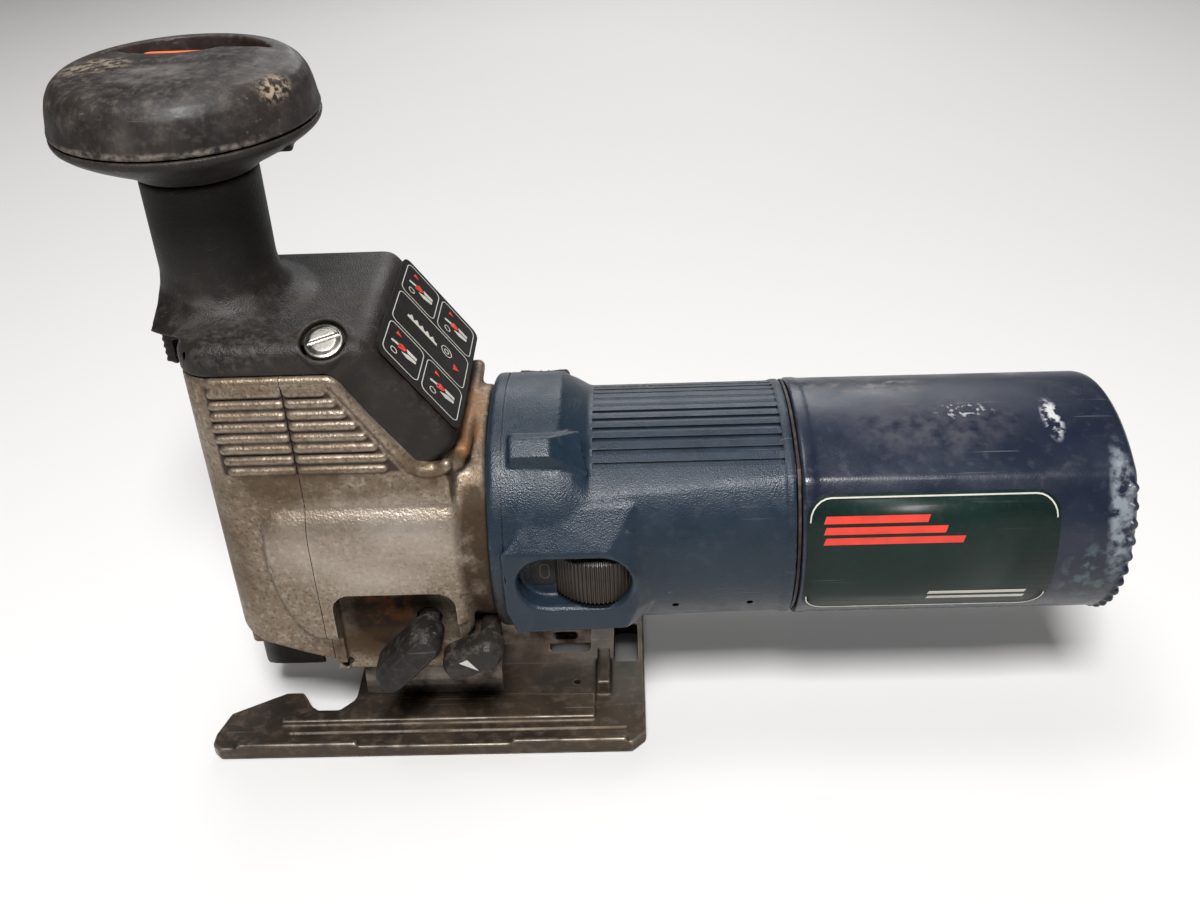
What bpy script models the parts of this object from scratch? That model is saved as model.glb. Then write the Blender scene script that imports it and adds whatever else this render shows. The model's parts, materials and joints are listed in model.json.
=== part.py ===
"""Barrel-grip jigsaw: a metal gear head in front, a motor barrel behind it, a knob on a post above.

The sole lies in the plane z = 0, the origin is the middle of the sole plate, the blade end points
to -X and the motor barrel runs back along +X.  Lengths below are in millimetres.
"""
import math

import bmesh
import bpy
from mathutils import Matrix, Vector

MM = 0.001
GAP = 0.3

# barrel
BARREL_Z = 62.3
BARREL_R = 32.6
BARREL_TOP = 28.3
TOP_ARC_R = 56.0
COLLAR_R = 35.2
COLLAR_TOP = 33.4
COLLAR_X = 22.5
COLLAR_END_X = 41.0
GRIP_X = 48.5
SWITCH_TURN = math.radians(60)
SEAM_X = 101.5
CAP_END_X = 186.5
WALL = 3.0

# gear head
HEAD_HALF = 28.0
HEAD_FRONT_X = -49.4
PARTING_X = -23.5
HEAD_REAR_X = 22.2
HEAD_TOP_Z = 118.7
CHAMBER_Z = 50.0
GUIDE_Z = 45.0
GUIDE_TOP_Z = 57.5
HEAD_WALL = 3.2
NECK_R = 32.0
PAD_TOP_Z = 83.0
PAD_OUT = 3.2
WEDGE_SLOPE = 0.70

# post and knob
POST_X = -41.6
POST_R = 14.2
POST_BORE_R = 10.0
ROOF_Z = 127.0
POST_TOP_Z = 161.0
KNOB_R = 31.2
KNOB_SEAM_Z = 173.1
KNOB_TOP_Z = 186.6
POCKET_R = 21.8
POCKET_Y = 8.6
ARM_REACH = 11.0
ARM_Z = 181.3
SCREW_X = -12.5

# drive
PINION_TEETH = 9
GEAR_TEETH = 54
MODULE = 0.85
CRANK_RADIUS = 13.0
PINION_R = PINION_TEETH * MODULE / 2
GEAR_R = GEAR_TEETH * MODULE / 2
GEAR_Z = BARREL_Z + PINION_R + GEAR_R + 0.15
GEAR_X0 = -20.0
GEAR_X1 = -12.0
SHAFT_R = 4.0
ROD_R = 5.0

# sole and its tilt
SOLE_HALF_X = 61.5
SOLE_HALF_Y = 37.0
SOLE_T = 4.0
PIVOT_Z = 5.5
SEGMENT_R = 16.0
SEGMENT_BORE_R = 12.5
CLAMP_X = 11.5

# controls
DIAL_X = 50.0
DIAL_Y = -22.5
DIAL_Z = (52.0, 66.0)
DIAL_R = 13.0
ORBIT_X, ORBIT_Z = 3.4, 41.0
BLOWER_X, BLOWER_Z = 19.6, 37.2
FORK_X, FORK_Z = -13.0, 38.0
ROLLER_X, ROLLER_Z = -29.8, 24.0

SEGMENTS = 40


# ---- scene, collections, materials ---------------------------------------------------------------

def clear_scene():
    for obj in list(bpy.data.objects):
        bpy.data.objects.remove(obj)


def collection(name):
    made = bpy.data.collections.new(name)
    bpy.context.scene.collection.children.link(made)
    return made


def material(name, colour, roughness, metallic=0.0):
    made = bpy.data.materials.new(name)
    made.use_nodes = True
    shader = made.node_tree.nodes["Principled BSDF"]
    shader.inputs["Base Color"].default_value = (*colour, 1.0)
    shader.inputs["Roughness"].default_value = roughness
    shader.inputs["Metallic"].default_value = metallic
    return made


clear_scene()
PARTS = collection("barrel_grip_jigsaw")
CUTTERS = collection("cutters")

BLUE = material("blue_plastic", (0.020, 0.040, 0.082), 0.50)
BLUE_CAP = material("blue_cap_plastic", (0.030, 0.036, 0.070), 0.40)
CAST = material("cast_aluminium", (0.36, 0.31, 0.26), 0.50, 0.7)
BLACK = material("black_plastic", (0.018, 0.017, 0.016), 0.55)
RUBBER = material("black_rubber", (0.022, 0.021, 0.020), 0.75)
STEEL = material("ground_steel", (0.45, 0.44, 0.42), 0.30, 1.0)
DARK_STEEL = material("dark_steel", (0.060, 0.050, 0.043), 0.45, 0.8)
ORANGE = material("orange_plastic", (0.62, 0.10, 0.035), 0.45)
COPPER = material("copper_winding", (0.50, 0.20, 0.08), 0.40, 0.8)
BRONZE = material("bronze", (0.45, 0.26, 0.10), 0.40, 1.0)
CARBON = material("carbon", (0.02, 0.02, 0.02), 0.6)
LABEL = material("label_film", (0.010, 0.030, 0.028), 0.35)


# ---- shape helpers, in millimetres ---------------------------------------------------------------

def place(name, bm, origin=(0, 0, 0), finish=None):
    """Make an object from a bmesh given in millimetres, with its own origin."""
    bmesh.ops.translate(bm, verts=bm.verts, vec=-Vector(origin))
    bmesh.ops.scale(bm, verts=bm.verts, vec=(MM, MM, MM))
    mesh = bpy.data.meshes.new(name)
    bm.to_mesh(mesh)
    bm.free()
    mesh.shade_smooth()
    mesh.set_sharp_from_angle(angle=math.radians(32))
    obj = bpy.data.objects.new(name, mesh)
    obj.location = Vector(origin) * MM
    if finish is None:
        CUTTERS.objects.link(obj)
        obj.hide_render = True
        obj.display_type = "WIRE"
    else:
        PARTS.objects.link(obj)
        mesh.materials.append(finish)
    return obj


def block(lo, hi):
    """A box between two corners."""
    bm = bmesh.new()
    bmesh.ops.create_cube(bm, size=1.0)
    lo, hi = Vector(lo), Vector(hi)
    bmesh.ops.scale(bm, verts=bm.verts, vec=hi - lo)
    bmesh.ops.translate(bm, verts=bm.verts, vec=(lo + hi) / 2)
    return bm


def rod(start, end, radius, segments=SEGMENTS, end_radius=None):
    """A cylinder or a cone between two points."""
    start, end = Vector(start), Vector(end)
    along = end - start
    bm = bmesh.new()
    bmesh.ops.create_cone(bm, cap_ends=True, segments=segments, radius1=radius,
                          radius2=radius if end_radius is None else end_radius, depth=along.length)
    turn = along.to_track_quat("Z", "Y").to_matrix().to_4x4()
    bmesh.ops.transform(bm, verts=bm.verts, matrix=Matrix.Translation((start + end) / 2) @ turn)
    return bm


def loft(rings):
    """A closed solid through rings of equally many points, first and last ring capped."""
    bm = bmesh.new()
    rows = [[bm.verts.new(point) for point in ring] for ring in rings]
    count = len(rows[0])
    for near, far in zip(rows, rows[1:]):
        for i in range(count):
            j = (i + 1) % count
            bm.faces.new((near[i], near[j], far[j], far[i]))
    bm.faces.new(list(reversed(rows[0])))
    bm.faces.new(rows[-1])
    bmesh.ops.recalc_face_normals(bm, faces=bm.faces)
    return bm


AXES = {
    "X": Matrix(((0, 0, 1, 0), (1, 0, 0, 0), (0, 1, 0, 0), (0, 0, 0, 1))),
    "Y": Matrix(((1, 0, 0, 0), (0, 0, 1, 0), (0, 1, 0, 0), (0, 0, 0, 1))),
    "Z": Matrix.Identity(4),
}


def prism(outline, axis, lo, hi):
    """A flat outline pushed from lo to hi along an axis.

    The outline's two numbers are (y, z) for X, (x, z) for Y and (x, y) for Z.
    """
    curve = bpy.data.curves.new("outline", "CURVE")
    curve.dimensions = "2D"
    curve.fill_mode = "BOTH"
    curve.extrude = (hi - lo) / 2
    spline = curve.splines.new("POLY")
    spline.points.add(len(outline) - 1)
    for point, (u, w) in zip(spline.points, outline):
        point.co = (u, w, 0, 1)
    spline.use_cyclic_u = True
    guide = bpy.data.objects.new("outline", curve)
    CUTTERS.objects.link(guide)
    bpy.context.view_layer.update()
    evaluated = guide.evaluated_get(bpy.context.evaluated_depsgraph_get())
    mesh = bpy.data.meshes.new_from_object(evaluated)
    bm = bmesh.new()
    bm.from_mesh(mesh)
    bpy.data.objects.remove(guide)
    bpy.data.meshes.remove(mesh)
    bmesh.ops.remove_doubles(bm, verts=bm.verts, dist=0.001)
    bmesh.ops.dissolve_limit(bm, angle_limit=0.01, verts=bm.verts, edges=bm.edges)
    bmesh.ops.translate(bm, verts=bm.verts, vec=(0, 0, (lo + hi) / 2))
    bmesh.ops.transform(bm, verts=bm.verts, matrix=AXES[axis])
    bmesh.ops.recalc_face_normals(bm, faces=bm.faces)
    return bm


def arc(centre, radius, start, end, steps):
    """Points on an arc, angles in degrees."""
    angles = [math.radians(start + (end - start) * i / steps) for i in range(steps + 1)]
    return [(centre[0] + radius * math.cos(a), centre[1] + radius * math.sin(a)) for a in angles]


def rounded(u0, u1, w0, w1, radius, steps=4):
    """A rectangle with round corners."""
    corners = ((u1, w0, -90), (u1, w1, 0), (u0, w1, 90), (u0, w0, 180))
    points = []
    for u, w, start in corners:
        cu = u - radius if u == u1 else u + radius
        cw = w - radius if w == w1 else w + radius
        points += arc((cu, cw), radius, start, start + 90, steps)
    return points


def turned(name, profile, origin, finish, axis="Z", steps=SEGMENTS, closed=False):
    """A turned piece: (radius, height) points down its outer side, turned round the axis."""
    mesh = bpy.data.meshes.new(name)
    points = [(r * MM, 0, h * MM) for r, h in profile]
    edges = [(i, i + 1) for i in range(len(points) - 1)]
    if closed:
        edges.append((len(points) - 1, 0))
    mesh.from_pydata(points, edges, [])
    obj = bpy.data.objects.new(name, mesh)
    obj.location = Vector(origin) * MM
    if axis == "X":
        obj.rotation_euler = (0, math.radians(90), 0)
    if axis == "Y":
        obj.rotation_euler = (math.radians(-90), 0, 0)
    screw = obj.modifiers.new("turn", "SCREW")
    screw.steps = steps
    screw.render_steps = steps
    screw.use_merge_vertices = True
    screw.merge_threshold = 0.00001
    screw.use_smooth_shade = True
    if finish is None:
        CUTTERS.objects.link(obj)
        obj.hide_render = True
        obj.display_type = "WIRE"
    else:
        PARTS.objects.link(obj)
        mesh.materials.append(finish)
    return obj


def ring(name, inner, outer, lo, hi, origin, finish, axis="Z", steps=SEGMENTS, chamfer=0.0):
    """A turned ring with small chamfers."""
    c = chamfer
    profile = [(outer - c, hi), (outer, hi - c), (outer, lo + c), (outer - c, lo), (inner, lo), (inner, hi)]
    if not c:
        profile = [(outer, hi), (outer, lo), (inner, lo), (inner, hi)]
    return turned(name, profile, origin, finish, axis, steps, closed=True)


def boolean(obj, operation, tool):
    change = obj.modifiers.new(operation.lower(), "BOOLEAN")
    change.operation = operation
    change.solver = "EXACT"
    change.object = tool


def cut(obj, *shapes):
    """Take shapes, bmeshes or objects, away from an object."""
    for shape in shapes:
        tool = place(obj.name + "_cut", shape) if isinstance(shape, bmesh.types.BMesh) else shape
        boolean(obj, "DIFFERENCE", tool)


def join(obj, *shapes):
    """Add shapes, bmeshes or objects, to an object."""
    for shape in shapes:
        tool = place(obj.name + "_add", shape) if isinstance(shape, bmesh.types.BMesh) else shape
        boolean(obj, "UNION", tool)


def bevel(obj, width, segments=2, angle=40):
    soft = obj.modifiers.new("bevel", "BEVEL")
    soft.width = width * MM
    soft.segments = segments
    soft.limit_method = "ANGLE"
    soft.angle_limit = math.radians(angle)


# ---- barrel sections -----------------------------------------------------------------------------

def barrel_radius(angle, radius, top):
    """Distance from the motor axis to the skin: a circle under a flatter arc on top."""
    centre = top - TOP_ARC_R
    up = math.sin(angle)
    if up <= 0:
        return radius
    to_arc = centre * up + math.sqrt((centre * up) ** 2 - centre ** 2 + TOP_ARC_R ** 2)
    return min(radius, to_arc)


def barrel_ring(x, radius, top, count=48):
    points = []
    for i in range(count):
        angle = 2 * math.pi * i / count
        reach = barrel_radius(angle, radius, top)
        points.append((x, reach * math.cos(angle), BARREL_Z + reach * math.sin(angle)))
    return points


def barrel(stations, count=48):
    return loft([barrel_ring(x, radius, top, count) for x, radius, top in stations])


def capsule(start, end, radius, steps=8):
    """An outline with two round ends, through two points."""
    angle = math.degrees(math.atan2(end[1] - start[1], end[0] - start[0]))
    return arc(end, radius, angle - 90, angle + 90, steps) + arc(start, radius, angle + 90, angle + 270, steps)


def toothed(teeth, root, tip, centre, phase=0.0, root_share=0.31, tip_share=0.14):
    """A wheel outline with straight-sided teeth; the shares are half widths over the pitch."""
    points = []
    pitch = 360.0 / teeth
    sides = ((root, -root_share), (tip, -tip_share), (tip, tip_share), (root, root_share))
    for i in range(teeth):
        middle = phase + i * pitch
        for radius, offset in sides:
            angle = math.radians(middle + offset * pitch)
            points.append((centre[0] + radius * math.cos(angle), centre[1] + radius * math.sin(angle)))
    return points


# ---- gear head -----------------------------------------------------------------------------------

HEAD_SLOPE = ((-11.5, HEAD_TOP_Z), (12.2, 92.7))


def wedge_cutters(x0, x1):
    """Everything under the lines that the sole sweeps when it tilts."""
    far = 60.0
    under = [(-far, PIVOT_Z - 30), (far, PIVOT_Z - 30), (far, PIVOT_Z + WEDGE_SLOPE * far),
             (0, PIVOT_Z), (-far, PIVOT_Z + WEDGE_SLOPE * far)]
    return prism(under, "X", x0, x1)


def make_gear_housing():
    outline = [(PARTING_X, 12.0), (20.0, 12.0), (20.0, 34.0), (14.0, 38.0), (14.0, 90.0),
               HEAD_SLOPE[1], HEAD_SLOPE[0], (PARTING_X, HEAD_TOP_Z)]
    obj = place("gear_housing", prism(outline, "Y", -HEAD_HALF, HEAD_HALF), finish=CAST)
    join(obj, rod((10.0, 0, BARREL_Z), (HEAD_REAR_X, 0, BARREL_Z), NECK_R, 48))
    for side in (-1, 1):
        pad = [(PARTING_X, 36.0), (14.0, 36.0), (17.0, 42.0), (17.0, PAD_TOP_Z - 6), (12.0, PAD_TOP_Z),
               (PARTING_X, PAD_TOP_Z)]
        lo, hi = sorted((side * (HEAD_HALF - 6), side * (HEAD_HALF + PAD_OUT)))
        join(obj, prism(pad, "Y", lo, hi))
    cut(obj, wedge_cutters(PARTING_X - 5, 40))
    cut(obj, rod((PARTING_X - 5, 0, PIVOT_Z), (40, 0, PIVOT_Z), SEGMENT_R + 0.4, 48))
    inner = HEAD_HALF - HEAD_WALL
    chamber = [(PARTING_X - 5, CHAMBER_Z), (16.0, CHAMBER_Z), (16.0, 86.0), (-12.9, HEAD_TOP_Z - 3),
               (PARTING_X - 5, HEAD_TOP_Z - 3)]
    cut(obj, prism(chamber, "Y", -inner, inner))
    cut(obj, rod((10, 0, BARREL_Z), (30, 0, BARREL_Z), 11.3, 40))
    cut(obj, rod((0, 0, GEAR_Z), (19.6, 0, GEAR_Z), SHAFT_R + GAP, 24))
    orbit = [(PARTING_X - 5, 10.0), (-8.0, 10.0), (8.5, 30.0), (8.5, CHAMBER_Z + 2), (PARTING_X - 5, CHAMBER_Z + 2)]
    cut(obj, prism(orbit, "Y", -9.5, 9.5))
    pocket = [(-20.5, 30.0), (12.0, 30.0), (12.0, 49.0), (8.0, 53.0), (-16.5, 53.0), (-20.5, 49.0)]
    cut(obj, prism(pocket, "Y", -40.0, -25.0))
    cut(obj, rod((ORBIT_X, -40, ORBIT_Z), (ORBIT_X, -5, ORBIT_Z), 3.3, 20))
    cut(obj, rod((BLOWER_X, -40, BLOWER_Z), (BLOWER_X, -15, BLOWER_Z), 2.8, 20))
    cut(obj, block((10.0, -40.0, 20.0), (30.0, -30.6, 45.5)))
    cut(obj, rod((FORK_X, -20, FORK_Z), (FORK_X, 20, FORK_Z), 2.3, 16))
    cut(obj, rod((CLAMP_X, 0, 15), (CLAMP_X, 0, 36), 2.7, 16))
    return obj


def make_front_cover():
    x1 = PARTING_X - GAP
    plan = [(x1, -HEAD_HALF)] + [(x1, HEAD_HALF)]
    plan += arc((HEAD_FRONT_X + 10, HEAD_HALF - 10), 10, 90, 180, 6)
    plan += arc((HEAD_FRONT_X + 10, -HEAD_HALF + 10), 10, 180, 270, 6)
    obj = place("front_cover", prism(plan, "Z", 26.0, HEAD_TOP_Z), finish=CAST)
    join(obj, rod((POST_X, 0, 26.0), (POST_X, 0, HEAD_TOP_Z), 13.0))
    for side in (-1, 1):
        pad = [(-40.0, 38.0), (x1, 36.0), (x1, PAD_TOP_Z), (-42.0, PAD_TOP_Z), (-44.0, PAD_TOP_Z - 3)]
        lo, hi = sorted((side * (HEAD_HALF - 6), side * (HEAD_HALF + PAD_OUT)))
        join(obj, prism(pad, "Y", lo, hi))
    cut(obj, wedge_cutters(-70, x1 + 5))
    skirt = [(-60.0, 10.0), (-60.0, 42.0), (-47.0, 38.0), (-30.0, 31.0), (x1 + 3, 28.2), (x1 + 3, 10.0)]
    cut(obj, prism(skirt, "Y", -40.0, -17.5))
    cut(obj, prism(skirt, "Y", 17.5, 40.0))
    inner = HEAD_HALF - HEAD_WALL
    cut(obj, block((HEAD_FRONT_X + HEAD_WALL, -inner, GUIDE_TOP_Z), (x1 + 5, inner, 110.0)))
    cut(obj, block((-33.0, -inner, CHAMBER_Z), (x1 + 5, inner, HEAD_TOP_Z - 3)))
    cut(obj, rod((POST_X, 0, 20), (POST_X, 0, 130), 8.3, 32))
    cut(obj, rod((POST_X, 0, 10), (POST_X, 0, GUIDE_Z), 9.2, 32))
    cut(obj, block((-31.5, -9.5, 10.0), (x1 + 5, 9.5, CHAMBER_Z + 2)))
    cut(obj, block((-40.0, -9.2, 10.0), (x1 + 5, 9.2, GUIDE_Z)))
    return obj


def make_bush(name, lo, hi):
    return ring(name, ROD_R + GAP, 8.0, lo, hi, (POST_X, 0, 0), BRONZE, steps=24, chamfer=0.5)


def make_chip_guard():
    plan = [(-31.0, 13.5), (-31.0, 15.5)] + arc((-42.5, 8.0), 7.5, 90, 180, 5)
    plan += arc((-42.5, -8.0), 7.5, 180, 270, 5) + [(-31.0, -15.5), (-31.0, -13.5)]
    plan += arc((-42.5, -8.0), 5.7, 270, 180, 5) + arc((-42.5, 8.0), 5.7, 180, 90, 5)
    obj = place("chip_guard", prism(plan, "Z", 13.0, 26.0 - GAP), finish=BLACK)
    cut(obj, prism([(-60, 10), (-42, 10), (-60, 20)], "Y", -30, 30))
    cut(obj, wedge_cutters(-70, -20))
    return obj


# ---- top cover, post, knob -----------------------------------------------------------------------

COVER_SIDE = ((-50.0, 119.0), (-11.2, 119.0), (12.5, 93.0), (18.2, 98.0), (-1.0, 125.0), (-5.0, ROOF_Z),
              (-50.0, ROOF_Z))


def make_top_cover():
    obj = place("top_cover", prism(COVER_SIDE, "Y", -HEAD_HALF, HEAD_HALF), finish=BLACK)
    plan = rounded(HEAD_FRONT_X - 0.2, 40.0, -HEAD_HALF - 0.01, HEAD_HALF + 0.01, 10.0)
    tool = place("cover_plan", prism(plan, "Z", 90.0, 130.0))
    boolean(obj, "INTERSECT", tool)
    bevel(obj, 3.0, 3, 50)
    inner_side = [(-46.5, 115.0), (-13.0, 115.0), (9.0, 91.0), (14.5, 97.0), (-3.0, 121.8), (-6.0, ROOF_Z - 2.6),
                  (-46.5, ROOF_Z - 2.6)]
    inner = place("cover_room", prism(inner_side, "Y", -HEAD_HALF + 2.6, HEAD_HALF - 2.6))
    cut(obj, inner)
    join(obj, rod((POST_X, 0, 119.0), (POST_X, 0, 124.5), 13.0))
    flare = [(0, POST_TOP_Z), (POST_R, POST_TOP_Z), (POST_R, 133.0), (POST_R + 1.2, 129.5), (POST_R + 4.0, 127.2),
             (POST_R + 7.0, 126.4), (0, 126.0)]
    post = turned("post_body", flare, (POST_X, 0, 0), None)
    cut(post, block((-80.0, -40.0, 110.0), (POST_X - POST_R, 40.0, 140.0)))
    join(obj, post)
    join(obj, block((-57.5, -8.0, 112.0), (-49.7, 8.0, 122.0)))
    cut(obj, rod((POST_X, 0, 100), (POST_X, 0, 170), POST_BORE_R, 32))
    cut(obj, block((POST_X - 13.3, -9.0, 100.0), (-40.0, 9.0, 119.0)))
    cut(obj, rod((SCREW_X, -29.0, 131.0), (SCREW_X, -22.2, 124.2), 5.2, 28))
    return obj


def make_side_screw():
    start, end = Vector((SCREW_X, -22.5, 124.5)), Vector((SCREW_X, -24.6, 126.6))
    return place("side_screw", rod(start, end, 4.6, 24), finish=STEEL)


def make_pictogram_plate():
    run = Vector((19.2, 0, -27.0)).normalized()
    normal = Vector((27.0, 0, 19.2)).normalized()
    top = Vector((-1.0, 0, 125.0)) + run * 0.6 + normal * GAP
    length, half, thick = 30.0, 25.0, 0.6
    rings = []
    for lift in (0.0, thick):
        corner = top + normal * lift
        rings.append([corner + run * u + Vector((0, w, 0)) for u, w in rounded(0, length, -half, half, 2.5)])
    return place("pictogram_plate", loft(rings), finish=LABEL)


def make_knob_base():
    profile = [(KNOB_R, KNOB_SEAM_Z), (30.5, 171.0), (27.0, 168.3), (21.0, 165.0), (POST_R + 1, 162.0),
               (POST_R, POST_TOP_Z + GAP), (9.0, POST_TOP_Z + GAP), (9.0, 168.0), (21.0, 169.0),
               (24.0, KNOB_SEAM_Z)]
    return turned("knob_base", profile, (POST_X, 0, 0), BLACK, steps=44, closed=True)


def make_knob_cap():
    """The upper half of the knob, which turns; its far side has the pocket of the folding crank."""
    z0 = KNOB_SEAM_Z + GAP
    profile = [(0, KNOB_TOP_Z), (15.0, KNOB_TOP_Z - 0.1), (22.5, KNOB_TOP_Z - 0.4), (26.0, KNOB_TOP_Z - 1.2),
               (28.0, 184.0), (29.2, 182.0), (30.0, 179.5), (30.5, 176.2), (KNOB_R, z0), (24.5, z0),
               (24.5, 175.2), (3.6, 175.2), (3.6, 177.5), (0, 177.5)]
    obj = turned("knob_cap", profile, (POST_X, 0, 0), RUBBER, steps=44)
    edge = math.degrees(math.asin(POCKET_Y / POCKET_R))
    pocket = arc((POST_X, 0), POCKET_R, edge, 180 - edge, 16)
    cut(obj, prism(pocket, "Z", ARM_Z - 3.4, 190.0))
    x = POST_X + ARM_REACH
    cut(obj, rod((x, POCKET_Y - 1.6, ARM_Z), (x, POCKET_Y + 12.5, ARM_Z), 1.5, 14))
    return obj


def make_crank_hub():
    return ring("crank_hub", 3.4, 11.5, 169.6, 174.9, (POST_X, 0, 0), ORANGE, steps=36, chamfer=0.8)


def make_crank_arm():
    pivot = (POST_X + ARM_REACH, 0, ARM_Z)
    bar = capsule((POST_X - ARM_REACH, ARM_Z), (POST_X + ARM_REACH, ARM_Z), 2.9)
    obj = place("crank_arm", prism(bar, "Y", POCKET_Y + 0.7, POCKET_Y + 6.8), pivot, ORANGE)
    join(obj, rod((pivot[0], POCKET_Y - 1.3, ARM_Z), (pivot[0], POCKET_Y + 12.2, ARM_Z), 1.2, 14))
    return obj


def make_driver_shaft():
    profile = [(0, 173.0), (3.0, 173.0), (3.0, 166.4), (5.4, 166.2), (5.4, 164.4), (3.0, 164.2), (3.0, 146.0),
               (2.6, 141.0), (0, 141.0)]
    return turned("driver_shaft", profile, (POST_X, 0, 0), STEEL, steps=20)


def make_driver_spring():
    turns, per_turn, low, high, radius = 4.0, 12, 146.5, 163.3, 4.6
    curve = bpy.data.curves.new("driver_spring", "CURVE")
    curve.dimensions = "3D"
    curve.bevel_depth = 0.6 * MM
    curve.bevel_resolution = 1
    curve.use_fill_caps = True
    spline = curve.splines.new("POLY")
    count = int(turns * per_turn)
    spline.points.add(count)
    for i, point in enumerate(spline.points):
        angle = 2 * math.pi * i / per_turn
        height = low + (high - low) * i / count
        point.co = (radius * math.cos(angle) * MM, radius * math.sin(angle) * MM, height * MM, 1)
    obj = bpy.data.objects.new("driver_spring", curve)
    obj.location = (POST_X * MM, 0, 0)
    curve.materials.append(STEEL)
    PARTS.objects.link(obj)
    return obj


# ---- lifting rod, gear and balance ---------------------------------------------------------------

def make_plunger():
    x0, x1 = -30.5, -25.5
    obj = place("plunger", rod((POST_X, 0, 29.0), (POST_X, 0, 116.0), ROD_R, 28), (POST_X, 0, 60.0), STEEL)
    join(obj, block((POST_X, -4.5, GEAR_Z - 6), (x0 + 1, 4.5, GEAR_Z + 6)))
    join(obj, prism(rounded(-20.0, 20.0, GEAR_Z - 7.0, GEAR_Z + 7.0, 3.0), "X", x0, x1))
    cut(obj, prism(capsule((-CRANK_RADIUS, GEAR_Z), (CRANK_RADIUS, GEAR_Z), 3.6), "X", x0 + 1.8, x1 + 1))
    cut(obj, rod((POST_X, 0, 20), (POST_X, 0, 120), 2.4, 20))
    return obj


def make_blade_clamp():
    obj = place("blade_clamp", prism(rounded(POST_X - 6, POST_X + 4, -6.0, 6.0, 2.0), "Z", 17.5, 31.0),
                (POST_X, 0, 24.0), STEEL)
    cut(obj, rod((POST_X, 0, 28.7), (POST_X, 0, 40), ROD_R + GAP, 28))
    cut(obj, rod((POST_X, 0, 10), (POST_X, 0, 40), 2.6, 20))
    cut(obj, block((POST_X - 3.2, -0.9, 10), (POST_X + 10, 0.9, 24.5)))
    return obj


def make_clamp_spindle():
    profile = [(0, 115.4), (2.1, 115.4), (2.1, 25.0), (1.2, 23.5), (0, 23.5)]
    return turned("clamp_spindle", profile, (POST_X, 0, 0), DARK_STEEL, steps=16)


def make_gear_wheel():
    centre = (0.0, GEAR_Z)
    outline = toothed(GEAR_TEETH, GEAR_R - 0.95, GEAR_R + 0.70, centre, phase=90.0 + 180.0 / GEAR_TEETH)
    obj = place("gear_wheel", prism(outline, "X", GEAR_X0, GEAR_X1), (-16, 0, GEAR_Z), STEEL)
    cut(obj, rod((GEAR_X0 - 5, 0, GEAR_Z), (GEAR_X1 + 5, 0, GEAR_Z), 8.3, 32))
    join(obj, rod((GEAR_X0 - 4.9, CRANK_RADIUS, GEAR_Z), (GEAR_X0 + 2, CRANK_RADIUS, GEAR_Z), 3.0, 20))
    return obj


def make_gear_bearing():
    return ring("gear_bearing", SHAFT_R + GAP, 8.0, GEAR_X0, GEAR_X1, (0, 0, GEAR_Z), STEEL, "X", 24)


def make_gear_axle():
    profile = [(0, 19.0), (SHAFT_R, 19.0), (SHAFT_R, GEAR_X0), (0, GEAR_X0)]
    return turned("gear_axle", profile, (0, 0, GEAR_Z), STEEL, "X", 24)


def make_counterweight():
    obj = place("counterweight", prism(rounded(-21.0, 21.0, 56.0, 103.4, 5.0), "X", -9.6, -6.4),
                (-8, 0, 80), DARK_STEEL)
    cut(obj, prism(rounded(-7.5, 7.5, 48.0, 98.8, 5.0), "X", -20, 0))
    return obj


# ---- blade back-up roller and the two levers -----------------------------------------------------

def make_roller_fork():
    pivot = (FORK_X, 0, FORK_Z)
    arm = capsule((FORK_X, FORK_Z), (ROLLER_X, ROLLER_Z), 4.2)
    obj = place("roller_fork", prism(arm, "Y", -7.5, 7.5), pivot, DARK_STEEL)
    along = Vector((ROLLER_X - FORK_X, ROLLER_Z - FORK_Z)).normalized()
    start = (ROLLER_X - along.x * 8.6, ROLLER_Z - along.y * 8.6)
    slot = capsule(start, (ROLLER_X + along.x * 12, ROLLER_Z + along.y * 12), 7.2)
    cut(obj, prism(slot, "Y", -4.4, 4.4))
    cut(obj, rod((FORK_X, -20, FORK_Z), (FORK_X, 20, FORK_Z), 2.3, 16))
    cut(obj, rod((ROLLER_X, -20, ROLLER_Z), (ROLLER_X, 20, ROLLER_Z), 1.8, 16))
    return obj


def make_back_roller():
    profile = [(6.0, 4.0), (6.0, 1.2), (5.0, 0.7), (5.0, -0.7), (6.0, -1.2), (6.0, -4.0), (1.8, -4.0), (1.8, 4.0)]
    return turned("back_roller", profile, (ROLLER_X, 0, ROLLER_Z), STEEL, "Y", 24, closed=True)


def make_pin(name, x, z, radius, half):
    return place(name, rod((x, -half, z), (x, half, z), radius, 16), (x, 0, z), STEEL)


def make_lever(name, hub, tip, radius, hub_y, face_y, shaft_radius, shaft_end):
    """A finger lever on a shaft along Y, its grip standing out beyond the hub."""
    origin = (hub[0], hub_y, hub[1])
    obj = place(name, prism(capsule(hub, tip, radius), "Y", face_y, hub_y), origin, BLACK)
    bevel(obj, 1.6, 2, 50)
    join(obj, rod((hub[0], hub_y - 1, hub[1]), (hub[0], shaft_end, hub[1]), shaft_radius, 18))
    return obj


# ---- sole ----------------------------------------------------------------------------------------

def sole_outline():
    """Plan of the sole: a plate with a blade notch that opens to the front."""
    half = [(57.5, -SOLE_HALF_Y), (-59.0, -SOLE_HALF_Y), (-SOLE_HALF_X, -34.5), (-SOLE_HALF_X, -31.0),
            (-59.0, -22.6), (-44.5, -14.6), (-39.5, -14.5), (-36.5, -18.0), (-32.9, -21.0), (-27.4, -21.8),
            (-24.3, -19.5), (-23.0, -15.0)]
    mirrored = [(x, -y) for x, y in reversed(half)]
    return [(SOLE_HALF_X, -33.0)] + half + mirrored + [(SOLE_HALF_X, 33.0)]


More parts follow.
